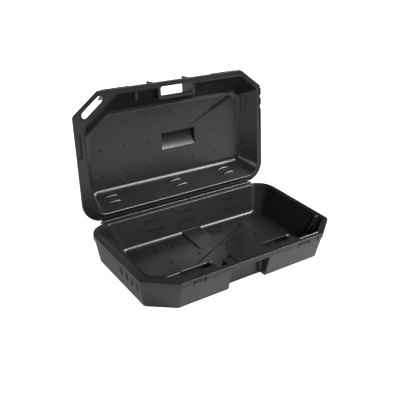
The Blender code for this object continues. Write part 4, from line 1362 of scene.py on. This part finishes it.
    def panel_marks(self) -> bpy.types.Object:
        """Cutter for the small upright dimples in the panel."""
        mesh = bmesh.new()
        for x in (-0.1610, -0.1060, -0.0500, 0.0075, 0.0645, 0.1225):
            for y in (-0.0545, 0.0003, 0.0555):
                if self.pocket_x[0] < x < self.pocket_x[1] and self.pocket_y[0] < y < self.pocket_y[1]:
                    continue
                place = Matrix.Translation((x, y, self.panel() - 0.0005))
                add_egg(mesh, place, (0.0019, 0.0042, 0.0019), (16, 11))
        return new_piece("panel_marks", mesh)

    def side_notches(self) -> list[bpy.types.Object]:
        """Cutters for the scalloped right edge and the pocket in the left rim."""
        mesh = bmesh.new()
        for y in (-0.042, -0.065, -0.088):
            place = Matrix.Translation((self.outside.length / 2 + 0.0025, y, self.mouth))
            add_rod(mesh, place, 0.0062, 0.040, 1.0, 28)
        outline = rectangle((-0.2285, -0.2180), (-0.055, -0.006), 0.0022)
        pocket = loft("left_pocket", [(self.mouth - 0.002, outline), (self.mouth + 0.0042, outline)])
        return [new_piece("scallops", mesh), pocket]

    def lugs(self) -> bpy.types.Object:
        """Lugs that carry the latch pins."""
        mesh = bmesh.new()
        rounds = bmesh.new()
        bottom = self.mouth + self.band - 0.001
        for centre in self.latch_x:
            for side in (-1, 1):
                inner = centre + side * (self.latch_half + self.lug_gap)
                span = tuple(sorted((inner, inner + side * self.lug)))
                add_box(mesh, span, about(self.pin[0], self.barrel), (bottom, self.pin[1]))
                add_rod(rounds, lying(sum(span) / 2, *self.pin), self.barrel, self.lug)
        tool = new_piece("lugs", mesh)
        work(tool, new_piece("lug_rounds", rounds), Cut.ADD)
        return tool

    def pin_bores(self) -> bpy.types.Object:
        """Cutter for the pins' holes."""
        mesh = bmesh.new()
        for centre in self.latch_x:
            add_rod(mesh, lying(centre, *self.pin), 0.0018, 0.066)
        return new_piece("pin_bores", mesh)

    def top_trim(self) -> list[tuple[bpy.types.Object, Cut]]:
        """Raised pad over the pocket and the cheeks of the handle."""
        margin = 0.003
        sides = (widen(self.pocket_x, margin), widen(self.pocket_y, margin))
        pad = soft_boxes("pad", [(*sides, (self.top() - 0.003, self.top() + 0.010))], 0.002)
        return [(pad, Cut.ADD), (self.handle_cheeks(), Cut.ADD)]

    def handle_cheeks(self) -> bpy.types.Object:
        """Upright cheeks on both sides of the handle, outside the lid."""
        spans = []
        for x in (self.boss_x[0], self.boss_x[1] - self.gusset):
            heights = (self.mouth + self.band - 0.0015, self.top() - 0.0005)
            spans.append(((x, x + self.gusset), (-0.1285, -0.070), heights))
        return soft_boxes("handle_cheeks", spans, 0.0008, 2)

    def build(self, material: bpy.types.Material) -> bpy.types.Object:
        """Mould the whole lid and swing it open.

        Args:
            material: its finish.

        Returns:
            The lid.
        """
        lid = self.rim()
        self.hinge.add_to(lid, 1, (self.mouth + 0.0004, self.mouth + 0.0055), self.outside.depth / 2)
        flap_z = (self.mouth + 0.0040, self.mouth + 0.0052)
        flap = ((-0.190, 0.190), (0.1285, self.hinge.axis[1] - 0.0003), flap_z)
        work(lid, soft_boxes("hinge_flap", [flap], 0.0), Cut.ADD)
        work(lid, self.lugs(), Cut.ADD)
        for tool, cut in self.top_trim():
            work(lid, tool, cut)
        work(lid, self.cavity(), Cut.REMOVE)
        work(lid, self.sunk_band(), Cut.REMOVE)
        work(lid, self.crescents(), Cut.ADD)
        work(lid, self.side_ribs(), Cut.ADD)
        catch = soft_boxes("catch", [((-0.0930, -0.0870), (-0.1205, -0.1025), (0.0632, 0.0668))], 0.0006, 2)
        work(lid, catch, Cut.ADD)
        marks = (self.panel_pocket(), self.panel_marks(), *self.side_notches())
        for tool in (*self.holes(), *marks, self.pin_bores()):
            work(lid, tool, Cut.REMOVE)
        self.hinge.bore(lid)
        axis = Matrix.Translation(self.hinge.axis)
        lid.data.transform(axis @ Matrix.Rotation(-self.angle, 4, "X") @ axis.inverted())
        finish_surface(lid, material)
        return lid


# Small parts that keep their CAD shape


class Hardware:
    """Finishes for the CAD nodes that stay as they are."""

    def __init__(self, shelf: EffectShelf) -> None:
        """Keep the shared groups.

        Args:
            shelf: the shared groups.
        """
        self.shelf = shelf

    def dress(self, node: str, finish: MouldedPlastic | DrawnMetal) -> None:
        """Give a CAD node its finish.

        Args:
            node: the node's name.
            finish: what it is made of.
        """
        piece = frame["nodes"][node]
        material = finish.make("finish_" + node, self.shelf)
        if piece.data.materials:
            piece.data.materials[0] = material
        else:
            piece.data.materials.append(material)
        LOG.info("dressed %s", node)

    def dress_all(self) -> None:
        """Dress every node that stays."""
        latch = MouldedPlastic(roughness=(0.26, 0.34), wear=0.5)
        for node in ("latch_left", "latch_right", "rod_cap_left", "rod_cap_right"):
            self.dress(node, latch)
        for node in ("hinge_rod", "latch_pin_left", "latch_pin_right", "lock_clip"):
            self.dress(node, DrawnMetal())
        lacquer = MouldedPlastic(deep=(0.020, 0.020, 0.022), light=(0.030, 0.030, 0.031), roughness=(0.34, 0.46))
        for node in ("lock_barrel", "lock_cam"):
            self.dress(node, lacquer)


# Studio


@dataclass(frozen=True)
class Softbox:
    """A soft rectangular light aimed at a point."""

    name: str
    place: Place
    aim: Place
    size: tuple[float, float]
    power: float

    def build(self) -> bpy.types.Object:
        """Hang the light.

        Returns:
            The light.
        """
        data = bpy.data.lights.new(self.name, "AREA")
        data.shape = "RECTANGLE"
        data.size, data.size_y = self.size
        data.energy = self.power
        lamp = bpy.data.objects.new(self.name, data)
        bpy.context.scene.collection.objects.link(lamp)
        lamp.location = self.place
        direction = Vector(self.aim) - Vector(self.place)
        lamp.rotation_euler = direction.to_track_quat("-Z", "Y").to_euler()
        return lamp


@dataclass(frozen=True)
class Studio:
    """White floor, white surroundings, soft lights and the camera."""

    azimuth: float = 36.221
    elevation: float = 26.984
    roll: float = 2.781
    camera_place: Place = (-0.6603, -0.8609, 0.6761)
    lens: float = 54.70
    shift: Point = (-0.0172, -0.0025)
    surroundings: float = 0.12
    floor_glow: float = 0.28

    def camera(self) -> None:
        """Set up the camera at the viewing angle."""
        data = bpy.data.cameras.new("camera")
        data.lens = self.lens
        data.sensor_width = 36.0
        data.shift_x, data.shift_y = self.shift
        data.clip_start = 0.01
        azimuth = math.radians(self.azimuth)
        elevation = math.radians(self.elevation)
        roll = math.radians(self.roll)
        forward = Vector((
            math.sin(azimuth) * math.cos(elevation), math.cos(azimuth) * math.cos(elevation), -math.sin(elevation)
        ))
        right = forward.cross(Vector((0, 0, 1))).normalized()
        up = right.cross(forward)
        rolled_right = right * math.cos(roll) + up * math.sin(roll)
        rolled_up = up * math.cos(roll) - right * math.sin(roll)
        turn = Matrix((rolled_right, rolled_up, -forward)).transposed().to_4x4()
        camera = bpy.data.objects.new("camera", data)
        camera.matrix_world = Matrix.Translation(self.camera_place) @ turn
        bpy.context.scene.collection.objects.link(camera)
        bpy.context.scene.camera = camera

    def floor(self) -> None:
        """Lay the pale floor."""
        mesh = bmesh.new()
        bmesh.ops.create_grid(mesh, x_segments=4, y_segments=4, size=6.0)
        floor = new_piece("floor", mesh)
        floor.location.z = CAD_BOUNDS[0][2] - 0.0001
        material, tree, shader = start_material("floor_paper")
        shader.inputs["Roughness"].default_value = 0.9
        shader.inputs["Specular IOR Level"].default_value = 0.1
        shader.inputs["Base Color"].default_value = (0.96, 0.96, 0.96, 1.0)
        shader.inputs["Emission Color"].default_value = WHITE
        path = tree.nodes.new("ShaderNodeLightPath")
        glow = map_range(tree, path.outputs["Is Camera Ray"], self.floor_glow, 1.0)
        tree.links.new(glow, shader.inputs["Emission Strength"])
        floor.data.materials.append(material)

    def world(self) -> None:
        """Fill the surroundings with plain white light."""
        world = bpy.data.worlds.new("surroundings")
        bpy.context.scene.world = world
        world.use_nodes = True
        backdrop = world.node_tree.nodes["Background"]
        backdrop.inputs["Color"].default_value = WHITE
        backdrop.inputs["Strength"].default_value = self.surroundings

    def lights(self) -> None:
        """Hang the softboxes."""
        middle = (0.0, 0.05, 0.08)
        for softbox in (
            Softbox("overhead", (1.55, -1.10, 2.10), middle, (2.2, 0.42), 95.0),
            Softbox("front_left", (-1.9, -1.1, 0.75), middle, (1.0, 0.9), 12.0),
        ):
            softbox.build()

    def build(self) -> None:
        """Set up everything round the object."""
        self.camera()
        self.floor()
        self.world()
        self.lights()
        view = bpy.context.scene.view_settings
        view.view_transform = "Standard"


def lid_joint() -> dict:
    """The record's hinge joint for the lid."""
    return next(joint for joint in frame["joints"] if joint["name"] == "lid_hinge")


def main() -> None:
    """Build the case, dress the hardware and set the studio."""
    logging.basicConfig(level=logging.INFO)
    shelf = EffectShelf()
    joint = lid_joint()
    hinge = HingeRow(axis=tuple(joint["pos_m"]))
    base = BaseTub(hinge).build(MouldedPlastic().make("base_plastic", shelf))
    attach(base, "base")
    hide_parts("base_tub")
    LOG.info("built %s", base.name)
    opening = math.radians(joint["range_deg"][1])
    lid = LidShell(hinge, opening).build(MouldedPlastic().make("lid_plastic", shelf))
    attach(lid, "lid")
    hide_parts("lid_shell")
    LOG.info("built %s", lid.name)
    Hardware(shelf).dress_all()
    Studio().build()


if __name__ == "__main__":
    main()
